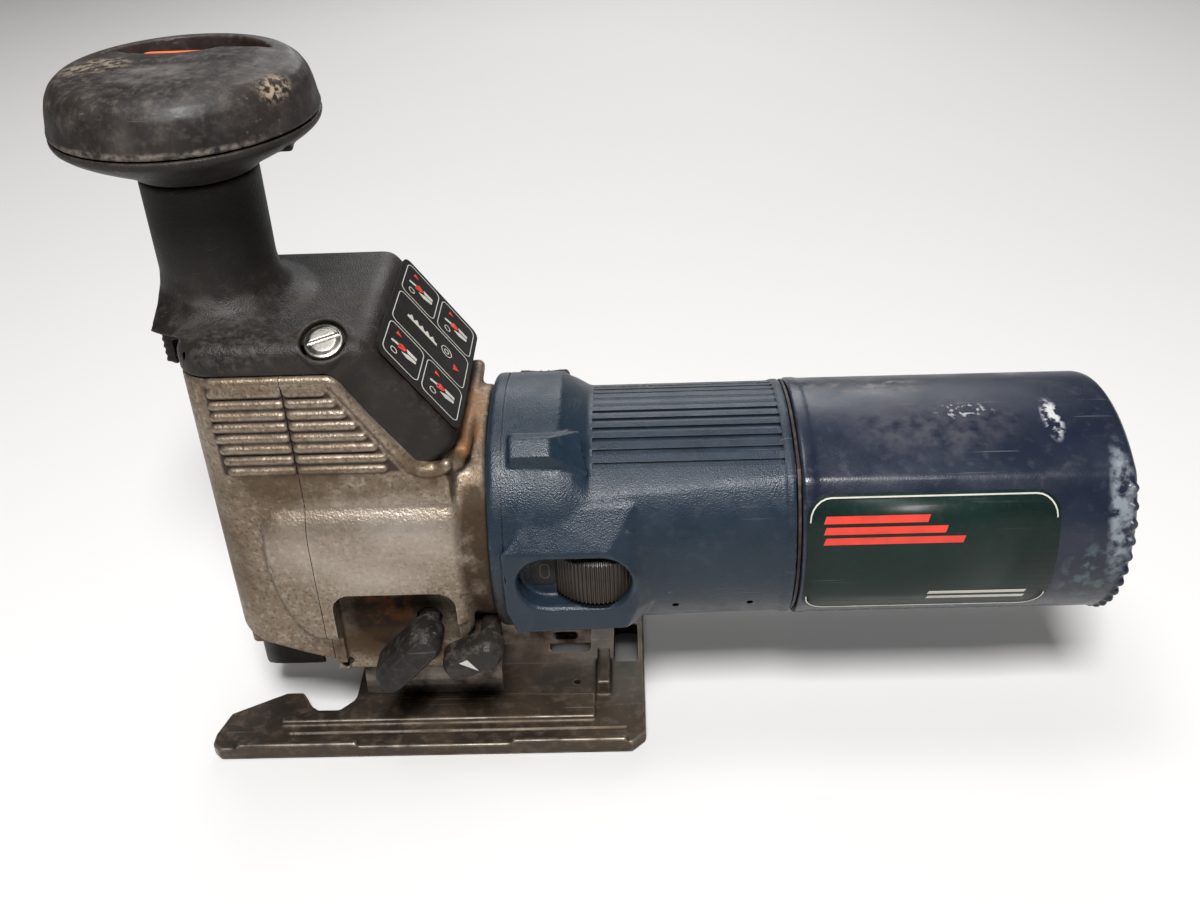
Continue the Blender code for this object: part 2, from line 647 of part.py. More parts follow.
def make_base_plate():
    obj = place("base_plate", prism(sole_outline(), "Z", 0.0, SOLE_T), finish=DARK_STEEL)
    for side in (-1, 1):
        rib = [(-43.0, -28.0), (47.0, -28.0), (47.0, -18.6), (-22.5, -18.6), (-27.0, -23.2), (-34.0, -23.2),
               (-43.0, -26.0)]
        join(obj, prism([(x, -side * y) for x, y in rib], "Z", SOLE_T - 1, SOLE_T + 1.4))
        lo, hi = sorted((side * 35.2, side * SOLE_HALF_Y))
        join(obj, block((-30.0 - 24, lo, SOLE_T - 1), (-18.0, hi, SOLE_T + 1.2)))
        join(obj, block((24.0, lo, SOLE_T - 1), (55.0, hi, SOLE_T + 1.2)))
    join(obj, block((47.6, -18.0, SOLE_T - 1), (51.4, -3.0, 9.0)))
    cut(obj, prism(rounded(52.6, 59.5, -4.0, 12.5, 1.2), "Z", -5, 10))
    cut(obj, prism(rounded(33.0, 45.0, 0.5, 12.5, 2.0), "Z", -5, 10))
    cut(obj, rod((CLAMP_X, 0, -5), (CLAMP_X, 0, 10), 5.4, 24))
    cut(obj, rod((41.5, -12.5, -5), (41.5, -12.5, 10), 0.9, 12))
    return obj


def make_base_segment():
    """The half-round saddle that stands on the sole and turns under the head."""
    z0 = SOLE_T + GAP
    x0, x1 = -20.0, 20.0
    outer = arc((0, PIVOT_Z), SEGMENT_R, 0, 180, 28)
    inner = arc((0, PIVOT_Z), SEGMENT_BORE_R, 180, 0, 24)
    plan = [(SEGMENT_R, z0)] + outer + [(-SEGMENT_R, z0), (-SEGMENT_BORE_R, z0)] + inner + [(SEGMENT_BORE_R, z0)]
    obj = place("base_segment", prism(plan, "X", x0, x1), (0, 0, PIVOT_Z), DARK_STEEL)
    slot = [(0, PIVOT_Z)] + arc((0, PIVOT_Z), 30, 32, 148, 12)
    cut(obj, prism(slot, "X", CLAMP_X - 3.2, CLAMP_X + 3.2))
    return obj


def make_base_clamp_screw():
    top = PIVOT_Z + SEGMENT_BORE_R - 1.2
    profile = [(0, 34.0), (2.4, 34.0), (2.4, top), (4.6, top), (4.6, top - 4.2), (2.0, top - 4.2),
               (2.0, top - 2.2), (0, top - 2.2)]
    return turned("base_clamp_screw", profile, (CLAMP_X, 0, 0), STEEL, steps=20)


def make_base_bracket():
    """Dark channel under the collar, screwed to the rear of the head's foot."""
    obj = place("base_bracket", block((20.3, -8.6, 15.6), (46.0, 8.6, 25.6)), finish=DARK_STEEL)
    cut(obj, block((18.0, -6.6, 10.0), (50.0, 6.6, 22.6)))
    cut(obj, wedge_cutters(10, 60))
    cut(obj, prism(capsule((36.5, 18.6), (41.0, 18.6), 1.5, 6), "Y", -20, 20))
    return obj


# ---- motor barrel --------------------------------------------------------------------------------

def to_switch_side(shape):
    """Turns a shape that was made on top of the motor barrel around to the switch on the far side."""
    bmesh.ops.rotate(shape, verts=shape.verts, cent=(0, 0, BARREL_Z), matrix=Matrix.Rotation(-SWITCH_TURN, 3, "X"))
    return shape


def make_motor_housing():
    end = SEAM_X - 0.5
    outer = [(COLLAR_X, 34.4, 32.6), (COLLAR_X + 1.5, COLLAR_R, COLLAR_TOP),
             (COLLAR_END_X, COLLAR_R, COLLAR_TOP), (GRIP_X, BARREL_R + 2.0, BARREL_TOP),
             (75.0, BARREL_R + 0.4, BARREL_TOP), (end, BARREL_R, BARREL_TOP)]
    obj = place("motor_housing", barrel(outer), finish=BLUE)
    pod = [(-24.0, 83.0), (-28.0, 82.0), (-36.4, 69.6), (-36.4, 50.0), (-31.5, 43.5), (-24.0, 40.0)]
    shell = place("pod", prism(pod, "X", 27.0, 62.5))
    cut(shell, prism([(56.0, 30.0), (70.0, 30.0), (70.0, -50.0), (56.0, -50.0)], "Z", 30, 34))
    join(obj, shell)
    join(obj, block((28.5, -30.5, 84.6), (38.7, -22.0, 93.0)))
    cut(obj, barrel([(26.0, 29.6, 25.3), (110.0, 29.6, 25.3)]))
    cut(obj, rod((10, 0, BARREL_Z), (30, 0, BARREL_Z), 15.0, 40))
    cut(obj, rod((DIAL_X, DIAL_Y, DIAL_Z[0] - 0.4), (DIAL_X, DIAL_Y, DIAL_Z[1] + 0.4), DIAL_R + 0.4, 40))
    cut(obj, prism(capsule((37.5, 60.2), (51.0, 60.2), 7.6, 8), "Y", -45, -30.5))
    cut(obj, to_switch_side(block((29.0, -3.4, 82.0), (45.5, 3.4, 110.0))))
    for x in (70.1, 89.8):
        cut(obj, rod((x, -60, 47), (x, -20, 47), 0.9, 10))
    return obj


def make_slide_button():
    z0 = BARREL_Z + COLLAR_R + GAP
    side = [(27.5, z0), (42.5, z0), (41.6, z0 + 1.5), (35.0, z0 + 1.0), (28.4, z0 + 1.5)]
    reach = z0 - BARREL_Z
    base = (35.0, math.sin(SWITCH_TURN) * reach, BARREL_Z + math.cos(SWITCH_TURN) * reach)
    obj = place("slide_button", to_switch_side(prism(side, "Y", -7.5, 7.5)), base, BLACK)
    join(obj, to_switch_side(block((33.0, -3.0, BARREL_Z + 28.9), (37.5, 3.0, z0 + 0.5))))
    return obj


def make_switch_link():
    z0, z1 = BARREL_Z + 26.2, BARREL_Z + 28.6
    reach = z0 - BARREL_Z
    base = (35.0, math.sin(SWITCH_TURN) * reach, BARREL_Z + math.cos(SWITCH_TURN) * reach)
    obj = place("switch_link", to_switch_side(block((30.0, -2.8, z0), (146.0, 2.8, z1))), base, BLACK)
    return obj


def make_power_switch():
    body = to_switch_side(block((140.0, -9.0, BARREL_Z + 14.0), (166.0, 9.0, BARREL_Z + 25.8)))
    obj = place("power_switch", body, finish=BLACK)
    bevel(obj, 0.8, 1)
    return obj


def make_speed_dial():
    outline = toothed(36, DIAL_R - 0.7, DIAL_R, (DIAL_X, DIAL_Y), root_share=0.37, tip_share=0.17)
    obj = place("speed_dial", prism(outline, "Z", *DIAL_Z), (DIAL_X, DIAL_Y, 59), BLACK)
    return obj


def make_seam_gasket():
    x0, x1 = SEAM_X - 0.2, SEAM_X + 0.5
    obj = place("seam_gasket", barrel([(x0, 32.2, 27.9), (x1, 32.2, 27.9)]), finish=RUBBER)
    cut(obj, barrel([(x0 - 5, 29.6, 25.3), (x1 + 5, 29.6, 25.3)]))
    return obj


def make_rear_cap():
    x0 = SEAM_X + 0.8
    outer = [(x0, 33.1, 28.8), (CAP_END_X - 3.0, 33.0, 28.6), (CAP_END_X - 0.9, 32.1, 27.7), (CAP_END_X, 30.3, 26.0)]
    obj = place("rear_cap", barrel(outer), finish=BLUE_CAP)
    cut(obj, barrel([(x0 - 10, 30.0, 25.6), (CAP_END_X - 3.5, 30.0, 25.6)]))
    cut(obj, rod((170, 0, BARREL_Z - 12), (200, 0, BARREL_Z - 12), 5.4, 24))
    for i in range(10):
        angle = math.radians(18 + 36 * i)
        mid = Vector((0, math.cos(angle), math.sin(angle)))
        if mid.z < -0.9:
            continue
        vent = block((CAP_END_X - 8, 16.0, -1.3), (CAP_END_X + 5, 24.5, 1.3))
        bmesh.ops.rotate(vent, verts=vent.verts, matrix=Matrix.Rotation(angle, 3, "X"))
        bmesh.ops.translate(vent, verts=vent.verts, vec=(0, 0, BARREL_Z))
        cut(obj, vent)
    for side in (-1, 1):
        cut(obj, rod((170, side * 13, BARREL_Z - 1), (200, side * 13, BARREL_Z - 1), 2.0, 16))
    return obj


def make_cap_screw(name, side):
    y, z = side * 13, BARREL_Z - 1
    obj = place(name, rod((165, y, z), (CAP_END_X - 0.5, y, z), 1.7, 14), (170, y, z), STEEL)
    join(obj, rod((CAP_END_X + GAP, y, z), (CAP_END_X + 2.0, y, z), 3.2, 20), rod((CAP_END_X - 2, y, z),
                                                                                    (CAP_END_X + 1, y, z), 1.7, 14))
    return obj


def make_nameplate():
    """A thin film on the near side panel of the rear cap."""
    steps = 12
    low, high = math.radians(180 + 32), math.radians(180 - 33)
    rings = []
    for x in (103.2, 166.4):
        inner, outer = [], []
        for i in range(steps + 1):
            angle = low + (high - low) * i / steps
            inner.append((x, 33.45 * math.cos(angle), BARREL_Z + 33.45 * math.sin(angle)))
            outer.append((x, 33.95 * math.cos(angle), BARREL_Z + 33.95 * math.sin(angle)))
        rings.append(outer + list(reversed(inner)))
    return place("nameplate", loft(rings), finish=LABEL)


def make_cable_gland():
    profile = [(0, 189.5), (6.5, 189.5), (8.5, 188.4), (8.5, CAP_END_X + GAP), (5.0, CAP_END_X + GAP),
               (5.0, 176.0), (0, 176.0)]
    obj = turned("cable_gland", profile, (0, 0, BARREL_Z - 12), RUBBER, "X", 24)
    cut(obj, rod((150, 0, BARREL_Z - 12), (200, 0, BARREL_Z - 12), 3.4, 20))
    return obj


def make_cable_clamp():
    obj = place("cable_clamp", block((169.5, -11.0, BARREL_Z - 17.5), (175.5, 11.0, BARREL_Z - 6.5)), finish=BLACK)
    cut(obj, rod((150, 0, BARREL_Z - 12), (200, 0, BARREL_Z - 12), 3.4, 20))
    return obj


# ---- motor ---------------------------------------------------------------------------------------

def make_armature_shaft():
    x0, x1, x2, x3 = GEAR_X0 - 0.5, GEAR_X1 + 0.6, 15.0, 136.0
    profile = [(0, x3), (SHAFT_R, x3), (SHAFT_R, x1), (PINION_R - 0.95, x1), (PINION_R - 0.95, x0), (0, x0)]
    obj = turned("armature_shaft", profile, (0, 0, BARREL_Z), STEEL, "X", 28)
    outline = toothed(PINION_TEETH, PINION_R - 0.97, PINION_R + 0.70, (0, BARREL_Z), phase=90.0)
    join(obj, prism(outline, "X", x0 + 0.3, x1 + 0.2))
    return obj


def make_armature_core():
    outline = toothed(14, 14.8, 16.6, (0, BARREL_Z), root_share=0.40, tip_share=0.43)
    obj = place("armature_core", prism(outline, "X", 68.0, 100.0), (84, 0, BARREL_Z), DARK_STEEL)
    cut(obj, rod((60, 0, BARREL_Z), (110, 0, BARREL_Z), SHAFT_R + GAP, 28))
    return obj


def make_winding(name, x0, x1, narrow_end):
    taper = [(15.0, x1), (15.0, x0), (SHAFT_R + GAP, x0), (SHAFT_R + GAP, x1)]
    if narrow_end == "front":
        taper = [(15.0, x1), (14.0, x0 + 1), (11.5, x0), (SHAFT_R + GAP, x0), (SHAFT_R + GAP, x1)]
    else:
        taper = [(11.5, x1), (14.0, x1 - 1), (15.0, x0), (SHAFT_R + GAP, x0), (SHAFT_R + GAP, x1)]
    return turned(name, taper, (0, 0, BARREL_Z), COPPER, "X", 28, closed=True)


def make_commutator():
    outline = toothed(22, 10.1, 10.5, (0, BARREL_Z), root_share=0.45, tip_share=0.42)
    obj = place("commutator", prism(outline, "X", 107.0, 119.0), (112, 0, BARREL_Z), COPPER)
    cut(obj, rod((100, 0, BARREL_Z), (130, 0, BARREL_Z), SHAFT_R + GAP, 28))
    return obj


def make_fan():
    obj = ring("fan", SHAFT_R + GAP, 22.5, 27.6, 29.2, (0, 0, BARREL_Z), BLACK, "X", 44)
    blades = place("fan_blades", prism(toothed(11, 7.5, 22.0, (0, BARREL_Z), root_share=0.16, tip_share=0.05), "X", 29.0, 34.0))
    cut(blades, rod((20, 0, BARREL_Z), (40, 0, BARREL_Z), SHAFT_R + GAP, 44))
    join(obj, blades)
    return obj


def make_bearing(name, inner, outer, x0, x1):
    groove = (inner + outer) / 2
    profile = [(outer, x1), (outer, x0), (inner, x0), (inner, x1), (groove - 1, x1), (groove, x1 - 0.6), (groove + 1, x1)]
    return turned(name, profile, (0, 0, BARREL_Z), STEEL, "X", 24, closed=True)


def make_field_stack():
    obj = place("field_stack", barrel([(66.5, 24.6, 21.3), (100.0, 24.6, 21.3)], 40), finish=DARK_STEEL)
    cut(obj, rod((60, 0, BARREL_Z), (110, 0, BARREL_Z), 20.6, 40))
    return obj


def make_field_coil(name, start):
    outline = arc((0, BARREL_Z), 20.3, start, start + 140, 16) + arc((0, BARREL_Z), 17.4, start + 140, start, 16)
    return place(name, prism(outline, "X", 64.0, 103.5), finish=COPPER)


def make_bearing_bridge():
    obj = place("bearing_bridge", barrel([(123.0, 29.5, 25.1), (126.0, 29.5, 25.1)], 48), finish=BLACK)
    join(obj, rod((122.5, 0, BARREL_Z), (133.5, 0, BARREL_Z), 12.6, 32))
    cut(obj, rod((124.2, 0, BARREL_Z), (140, 0, BARREL_Z), 9.8, 32))
    cut(obj, rod((110, 0, BARREL_Z), (140, 0, BARREL_Z), 6.5, 24))
    cut(obj, to_switch_side(block((115, -3.4, BARREL_Z + 25.8), (140, 3.4, BARREL_Z + 40))))
    for i in range(4):
        angle = 45 + 90 * i
        window = arc((0, BARREL_Z), 24.5, angle - 28, angle + 28, 6) + arc((0, BARREL_Z), 15.5, angle + 24, angle - 24, 6)
        cut(obj, prism(window, "X", 115, 140))
    return obj


def make_brush_holder(name, side):
    lo, hi = sorted((side * 12.4, side * 27.0))
    obj = place(name, block((108.0, lo, BARREL_Z - 5.0), (118.0, hi, BARREL_Z + 5.0)), finish=BRONZE)
    lo, hi = sorted((side * 10.0, side * 25.5))
    cut(obj, block((109.7, lo, BARREL_Z - 3.5), (116.3, hi, BARREL_Z + 3.5)))
    return obj


def make_carbon_brush(name, side):
    lo, hi = sorted((side * 10.8, side * 22.0))
    return place(name, block((110.0, lo, BARREL_Z - 3.2), (116.0, hi, BARREL_Z + 3.2)), finish=CARBON)


def make_speed_module():
    obj = place("speed_module", block((140.0, -17.0, 40.0), (166.0, 17.0, 55.0)), finish=BLACK)
    bevel(obj, 0.8, 1)
    return obj


def build():
    make_gear_housing()
    make_front_cover()
    make_bush("upper_bush", 110.4, HEAD_TOP_Z - 0.5)
    make_bush("lower_bush", GUIDE_Z + 0.4, GUIDE_TOP_Z - 0.5)
    make_chip_guard()
    make_top_cover()
    make_side_screw()
    make_pictogram_plate()
    make_knob_base()
    make_knob_cap()
    make_crank_hub()
    make_crank_arm()
    make_driver_shaft()
    make_driver_spring()
    make_plunger()
    make_blade_clamp()
    make_clamp_spindle()
    make_gear_wheel()
    make_gear_bearing()
    make_gear_axle()
    make_counterweight()
    make_roller_fork()
    make_back_roller()
    make_pin("roller_pin", ROLLER_X, ROLLER_Z, 1.5, 7.4)
    make_pin("fork_pin", FORK_X, FORK_Z, 2.0, 14.0)
    make_lever("orbit_lever", (ORBIT_X, ORBIT_Z), (-6.4, 30.7), 4.6, -29.5, -39.5, 3.0, -11.0)
    make_lever("blower_lever", (BLOWER_X, BLOWER_Z), (11.8, 33.4), 4.5, -31.2, -38.8, 2.5, -18.0)
    make_base_plate()
    make_base_segment()
    make_base_clamp_screw()
    make_base_bracket()
    make_motor_housing()
    make_slide_button()
    make_switch_link()
    make_power_switch()
    make_speed_dial()
    make_speed_module()
    make_seam_gasket()
    make_rear_cap()
    make_nameplate()
    make_cap_screw("cap_screw_near", -1)
    make_cap_screw("cap_screw_far", 1)
    make_cable_gland()
    make_cable_clamp()
    make_armature_shaft()
    make_armature_core()
    make_winding("winding_front", 62.5, 67.7, "front")
    make_winding("winding_rear", 100.3, 105.5, "rear")
    make_commutator()
    make_fan()
    make_bearing("front_bearing", SHAFT_R + GAP, 11.0, 16.2, 22.0)
    make_bearing("rear_bearing", SHAFT_R + GAP, 9.5, 124.5, 132.5)
    make_field_stack()
    make_field_coil("field_coil_upper", 20)
    make_field_coil("field_coil_lower", 200)
    make_bearing_bridge()
    make_brush_holder("brush_holder_near", -1)
    make_brush_holder("brush_holder_far", 1)
    make_carbon_brush("carbon_brush_near", -1)
    make_carbon_brush("carbon_brush_far", 1)


build()
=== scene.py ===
"""Looks of the barrel-grip jigsaw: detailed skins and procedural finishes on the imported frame.

Shapes are made in millimetres in the frame's own axes and scaled to metres when they become
objects.  The tool stands on z = 0 with its blade end at -X, and the near side is -Y.
"""
import json
import math

import bmesh
import bpy
from mathutils import Matrix, Vector


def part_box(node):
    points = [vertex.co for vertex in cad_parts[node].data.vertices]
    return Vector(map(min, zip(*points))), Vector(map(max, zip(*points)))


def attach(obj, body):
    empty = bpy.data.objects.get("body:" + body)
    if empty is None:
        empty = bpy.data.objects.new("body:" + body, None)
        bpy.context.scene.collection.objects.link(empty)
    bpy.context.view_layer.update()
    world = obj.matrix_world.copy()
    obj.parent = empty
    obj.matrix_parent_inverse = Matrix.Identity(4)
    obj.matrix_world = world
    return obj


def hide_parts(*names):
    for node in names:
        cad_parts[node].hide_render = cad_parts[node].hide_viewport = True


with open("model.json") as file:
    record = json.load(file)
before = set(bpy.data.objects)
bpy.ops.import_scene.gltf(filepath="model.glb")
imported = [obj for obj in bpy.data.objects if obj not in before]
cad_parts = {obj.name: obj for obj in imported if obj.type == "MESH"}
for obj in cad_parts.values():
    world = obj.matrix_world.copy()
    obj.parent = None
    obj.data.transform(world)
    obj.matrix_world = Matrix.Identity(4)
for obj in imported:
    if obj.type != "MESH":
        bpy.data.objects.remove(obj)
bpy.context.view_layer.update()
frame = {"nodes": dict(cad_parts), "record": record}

MM = 0.001
VOXEL = 0.42
CAST_SOFTEN = 26


def span(node):
    """Lowest and highest corner of a CAD node, in millimetres."""
    lo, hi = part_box(node)
    return lo / MM, hi / MM


# ---- places taken from the frame -----------------------------------------------------------------

HEAD_LO, HEAD_HI = span("gear_housing")
FRONT_LO = span("front_cover")[0]
TOP_HI = span("top_cover")[1]
BARREL_LO, BARREL_HI = span("motor_housing")
CAP_LO, CAP_HI = span("rear_cap")
SAUCER_LO, SAUCER_HI = span("knob_base")
DOME_LO, DOME_HI = span("knob_cap")
ARM_LO, ARM_HI = span("crank_arm")
SOLE_HI = span("base_plate")[1]
DIAL_LO, DIAL_HI = span("speed_dial")
PLATE_LO, PLATE_HI = span("nameplate")
BEARING_LO, BEARING_HI = span("front_bearing")

BARREL_Z = (BEARING_LO.z + BEARING_HI.z) / 2
BARREL_R = 32.6
BARREL_TOP = 28.3
COLLAR_R = 35.2
COLLAR_TOP = 33.4
COLLAR_END_X = 41.0
SWITCH_TURN = math.radians(60)
GRIP_X = 48.5
TOP_ARC_R = 46.5
HEAD_HALF = TOP_HI.y
PARTING_X = HEAD_LO.x
HEAD_TOP_Z = HEAD_HI.z
FRONT_X = -49.4
PIVOT_Z = 5.5
ROOF_Z = 127.0
ROOM_TOP_Z = 115.7
HEAD_WALL = 3.2
FAR = 60.0
SEAM_GAP = 0.22
GUARD_X, GUARD_Y = -42.5, 8.0
POST_X = (SAUCER_LO.x + SAUCER_HI.x) / 2
POST_R = 14.2
POST_TOP_Z = TOP_HI.z
KNOB_R = SAUCER_HI.y
SEAM_Z = SAUCER_HI.z
KNOB_TOP_Z = DOME_HI.z
SCREW_AT = Vector((-12.5, -24.0, 126.0))
SCREW_OUT = Vector((0, -0.5, 0.87)).normalized()
ORBIT_HUB, ORBIT_TIP = (3.4, 41.0), (-6.4, 30.7)
BLOWER_HUB, BLOWER_TIP = (19.6, 37.2), (11.8, 33.4)


# ---- shape helpers -------------------------------------------------------------------------------

def block(lo, hi):
    bm = bmesh.new()
    bmesh.ops.create_cube(bm, size=1.0)
    lo, hi = Vector(lo), Vector(hi)
    bmesh.ops.scale(bm, verts=bm.verts, vec=hi - lo)
    bmesh.ops.translate(bm, verts=bm.verts, vec=(lo + hi) / 2)
    return bm


def rod(start, end, radius, segments=48, end_radius=None):
    start, end = Vector(start), Vector(end)
    along = end - start
    bm = bmesh.new()
    bmesh.ops.create_cone(bm, cap_ends=True, segments=segments, radius1=radius,
                          radius2=radius if end_radius is None else end_radius, depth=along.length)
    turn = along.to_track_quat("Z", "Y").to_matrix().to_4x4()
    bmesh.ops.transform(bm, verts=bm.verts, matrix=Matrix.Translation((start + end) / 2) @ turn)
    return bm


def upright(x, z0, z1, radius, segments=48):
    """A rod straight up from the middle plane."""
    return rod((x, 0, z0), (x, 0, z1), radius, segments)


def crossbar(x, z, y0, y1, radius, segments=48):
    """A rod across the tool."""
    return rod((x, y0, z), (x, y1, z), radius, segments)


def spindle(x0, x1, radius, segments=48):
    """A rod on the motor's axis."""
    return rod((x0, 0, BARREL_Z), (x1, 0, BARREL_Z), radius, segments)


def ball(centre, radius, stretch=(1, 1, 1)):
    bm = bmesh.new()
    bmesh.ops.create_icosphere(bm, subdivisions=3, radius=radius)
    bmesh.ops.scale(bm, verts=bm.verts, vec=stretch)
    bmesh.ops.translate(bm, verts=bm.verts, vec=centre)
    return bm


def hull(points):
    bm = bmesh.new()
    for point in points:
        bm.verts.new(point)
    made = bmesh.ops.convex_hull(bm, input=bm.verts)
    loose = [v for v in made["geom_interior"] if isinstance(v, bmesh.types.BMVert)]
    bmesh.ops.delete(bm, geom=loose, context="VERTS")
    bmesh.ops.recalc_face_normals(bm, faces=bm.faces)
    return bm


def bar(start, end, radius):
    """A bar with round ends."""
    near, far = ball(start, radius), ball(end, radius)
    points = [v.co.copy() for v in near.verts] + [v.co.copy() for v in far.verts]
    near.free()
    far.free()
    return hull(points)


def loft(rings, closed=False):
    """A solid through rings of equally many points; a closed one runs back to its first ring."""
    bm = bmesh.new()
    rows = [[bm.verts.new(point) for point in ring] for ring in rings]
    count = len(rows[0])
    pairs = list(zip(rows, rows[1:]))
    if closed:
        pairs.append((rows[-1], rows[0]))
    for near, far in pairs:
        for i in range(count):
            j = (i + 1) % count
            bm.faces.new((near[i], near[j], far[j], far[i]))
    if not closed:
        bm.faces.new(list(reversed(rows[0])))
        bm.faces.new(rows[-1])
    bmesh.ops.recalc_face_normals(bm, faces=bm.faces)
    return bm


def turned(profile, centre, axis="Z", steps=96):
    """A solid of revolution from (radius, height) points that start and end on the axis."""
    bm = bmesh.new()
    tip, foot = (bm.verts.new((0, 0, profile[k][1])) for k in (0, -1))
    rings = []
    for r, h in profile[1:-1]:
        rings.append([bm.verts.new((r * math.cos(a), r * math.sin(a), h))
                      for a in (2 * math.pi * i / steps for i in range(steps))])
    for near, far in zip(rings, rings[1:]):
        for i in range(steps):
            j = (i + 1) % steps
            bm.faces.new((near[i], near[j], far[j], far[i]))
    for i in range(steps):
        j = (i + 1) % steps
        bm.faces.new((tip, rings[0][i], rings[0][j]))
        bm.faces.new((foot, rings[-1][j], rings[-1][i]))
    bmesh.ops.recalc_face_normals(bm, faces=bm.faces)
    if axis == "X":
        bmesh.ops.rotate(bm, verts=bm.verts, matrix=Matrix.Rotation(math.radians(90), 3, "Y"))
    bmesh.ops.translate(bm, verts=bm.verts, vec=centre)
    return bm


def prism(outline, axis, lo, hi):
    """A flat outline pushed along an axis: (y, z) for X, (x, z) for Y, (x, y) for Z."""
    place = {"X": (2, 0, 1), "Y": (0, 2, 1), "Z": (0, 1, 2)}[axis]
    return loft([[tuple((u, w, d)[k] for k in place) for u, w in outline] for d in (lo, hi)])


def arc(centre, radius, start, end, steps):
    angles = [math.radians(start + (end - start) * i / steps) for i in range(steps + 1)]
    return [(centre[0] + radius * math.cos(a), centre[1] + radius * math.sin(a)) for a in angles]


def rounded(u0, u1, w0, w1, radius, steps=6):
    corners = ((u1, w0, -90), (u1, w1, 0), (u0, w1, 90), (u0, w0, 180))
    points = []
    for u, w, start in corners:
        cu = u - radius if u == u1 else u + radius
        cw = w - radius if w == w1 else w + radius
        points += arc((cu, cw), radius, start, start + 90, steps)
    return points


def capsule(start, end, radius, steps=14):
    angle = math.degrees(math.atan2(end[1] - start[1], end[0] - start[0]))
    return (arc(end, radius, angle - 90, angle + 90, steps)
            + arc(start, radius, angle + 90, angle + 270, steps))


def barrel_radius(angle, radius, top):
    """Distance from the motor axis to the skin: a circle under a flatter arc on top."""
    centre = top - TOP_ARC_R
    up = math.sin(angle)
    if up <= 0:
        return radius
    to_arc = centre * up + math.sqrt((centre * up) ** 2 - centre ** 2 + TOP_ARC_R ** 2)
    return min(radius, to_arc)


def barrel(stations, count=180):
    rings = []
    for x, radius, top in stations:
        ring = []
        for i in range(count):
            angle = 2 * math.pi * i / count
            reach = barrel_radius(angle, radius, top)
            ring.append((x, reach * math.cos(angle), BARREL_Z + reach * math.sin(angle)))
        rings.append(ring)
    return loft(rings)


def to_object(name, bm):
    bmesh.ops.scale(bm, verts=bm.verts, vec=(MM, MM, MM))
    mesh = bpy.data.meshes.new(name)
    bm.to_mesh(mesh)
    bm.free()
    obj = bpy.data.objects.new(name, mesh)
    bpy.context.scene.collection.objects.link(obj)
    return obj


def settled(obj, helpers=()):
    """The object with its modifiers applied and its helpers gone."""
    bpy.context.view_layer.update()
    seen = obj.evaluated_get(bpy.context.evaluated_depsgraph_get())
    mesh = bpy.data.meshes.new_from_object(seen)
    obj.modifiers.clear()
    obj.data = mesh
    mesh.shade_smooth()
    for helper in helpers:
        bpy.data.objects.remove(helper)
    return obj


def gathered(name, shapes):
    """One object from several closed shapes, joined or not."""
    whole = bmesh.new()
    for shape in shapes:
        part = bpy.data.meshes.new("part")
        shape.to_mesh(part)
        shape.free()
        whole.from_mesh(part)
        bpy.data.meshes.remove(part)
    return to_object(name, whole)


def taken(obj):
    """An object's shape in millimetres again; the object goes."""
    shape = bmesh.new()
    shape.from_mesh(obj.data)
    bmesh.ops.scale(shape, verts=shape.verts, vec=(1 / MM,) * 3)
    bpy.data.objects.remove(obj)
    return shape


def boolean(obj, tool, operation="DIFFERENCE", solver="MANIFOLD"):
    cut = obj.modifiers.new("cut", "BOOLEAN")
    cut.operation = operation
    cut.solver = solver
    cut.object = tool


def bevelled(obj, width, segments, angle):
    soft = obj.modifiers.new("bevel", "BEVEL")
    soft.width = width * MM
    soft.segments = segments
    soft.limit_method = "ANGLE"
    soft.angle_limit = math.radians(angle)
    return settled(obj)


def reskin(obj, voxel, soften):
    """Rebuilds the object as one skin, with its corners run together."""
    remesh = obj.modifiers.new("remesh", "REMESH")
    remesh.mode = "VOXEL"
    remesh.voxel_size = voxel * MM
    smooth = obj.modifiers.new("smooth", "SMOOTH")
    smooth.factor = 0.5
    smooth.iterations = soften


def carve(obj, cuts):
    helpers = []
    for shape in cuts:
        bmesh.ops.recalc_face_normals(shape, faces=shape.faces)
        tool = to_object("cutter", shape)
        boolean(obj, tool)
        helpers.append(tool)
    return helpers


def fused(name, adds, cuts=(), voxel=0.5, soften=6, late=(), fine=()):
    """Joins closed shapes and softens them, adds late detail, cuts openings, then cuts fine sharp lines."""
    obj = gathered(name, adds)
    reskin(obj, voxel, soften)
    settled(obj)
    if late:
        obj = gathered(name, [taken(obj), *late])
        reskin(obj, voxel, 2)
        settled(obj)
    if cuts:
        helpers = carve(obj, cuts)
        reskin(obj, voxel, 2)
        settled(obj, helpers)
    for batch in fine:
        tool = gathered("cutter", batch)
        boolean(obj, tool)
        settled(obj, [tool])
    if fine:
        obj.data.set_sharp_from_angle(angle=math.radians(38))
    return obj


# ---- finishes ------------------------------------------------------------------------------------

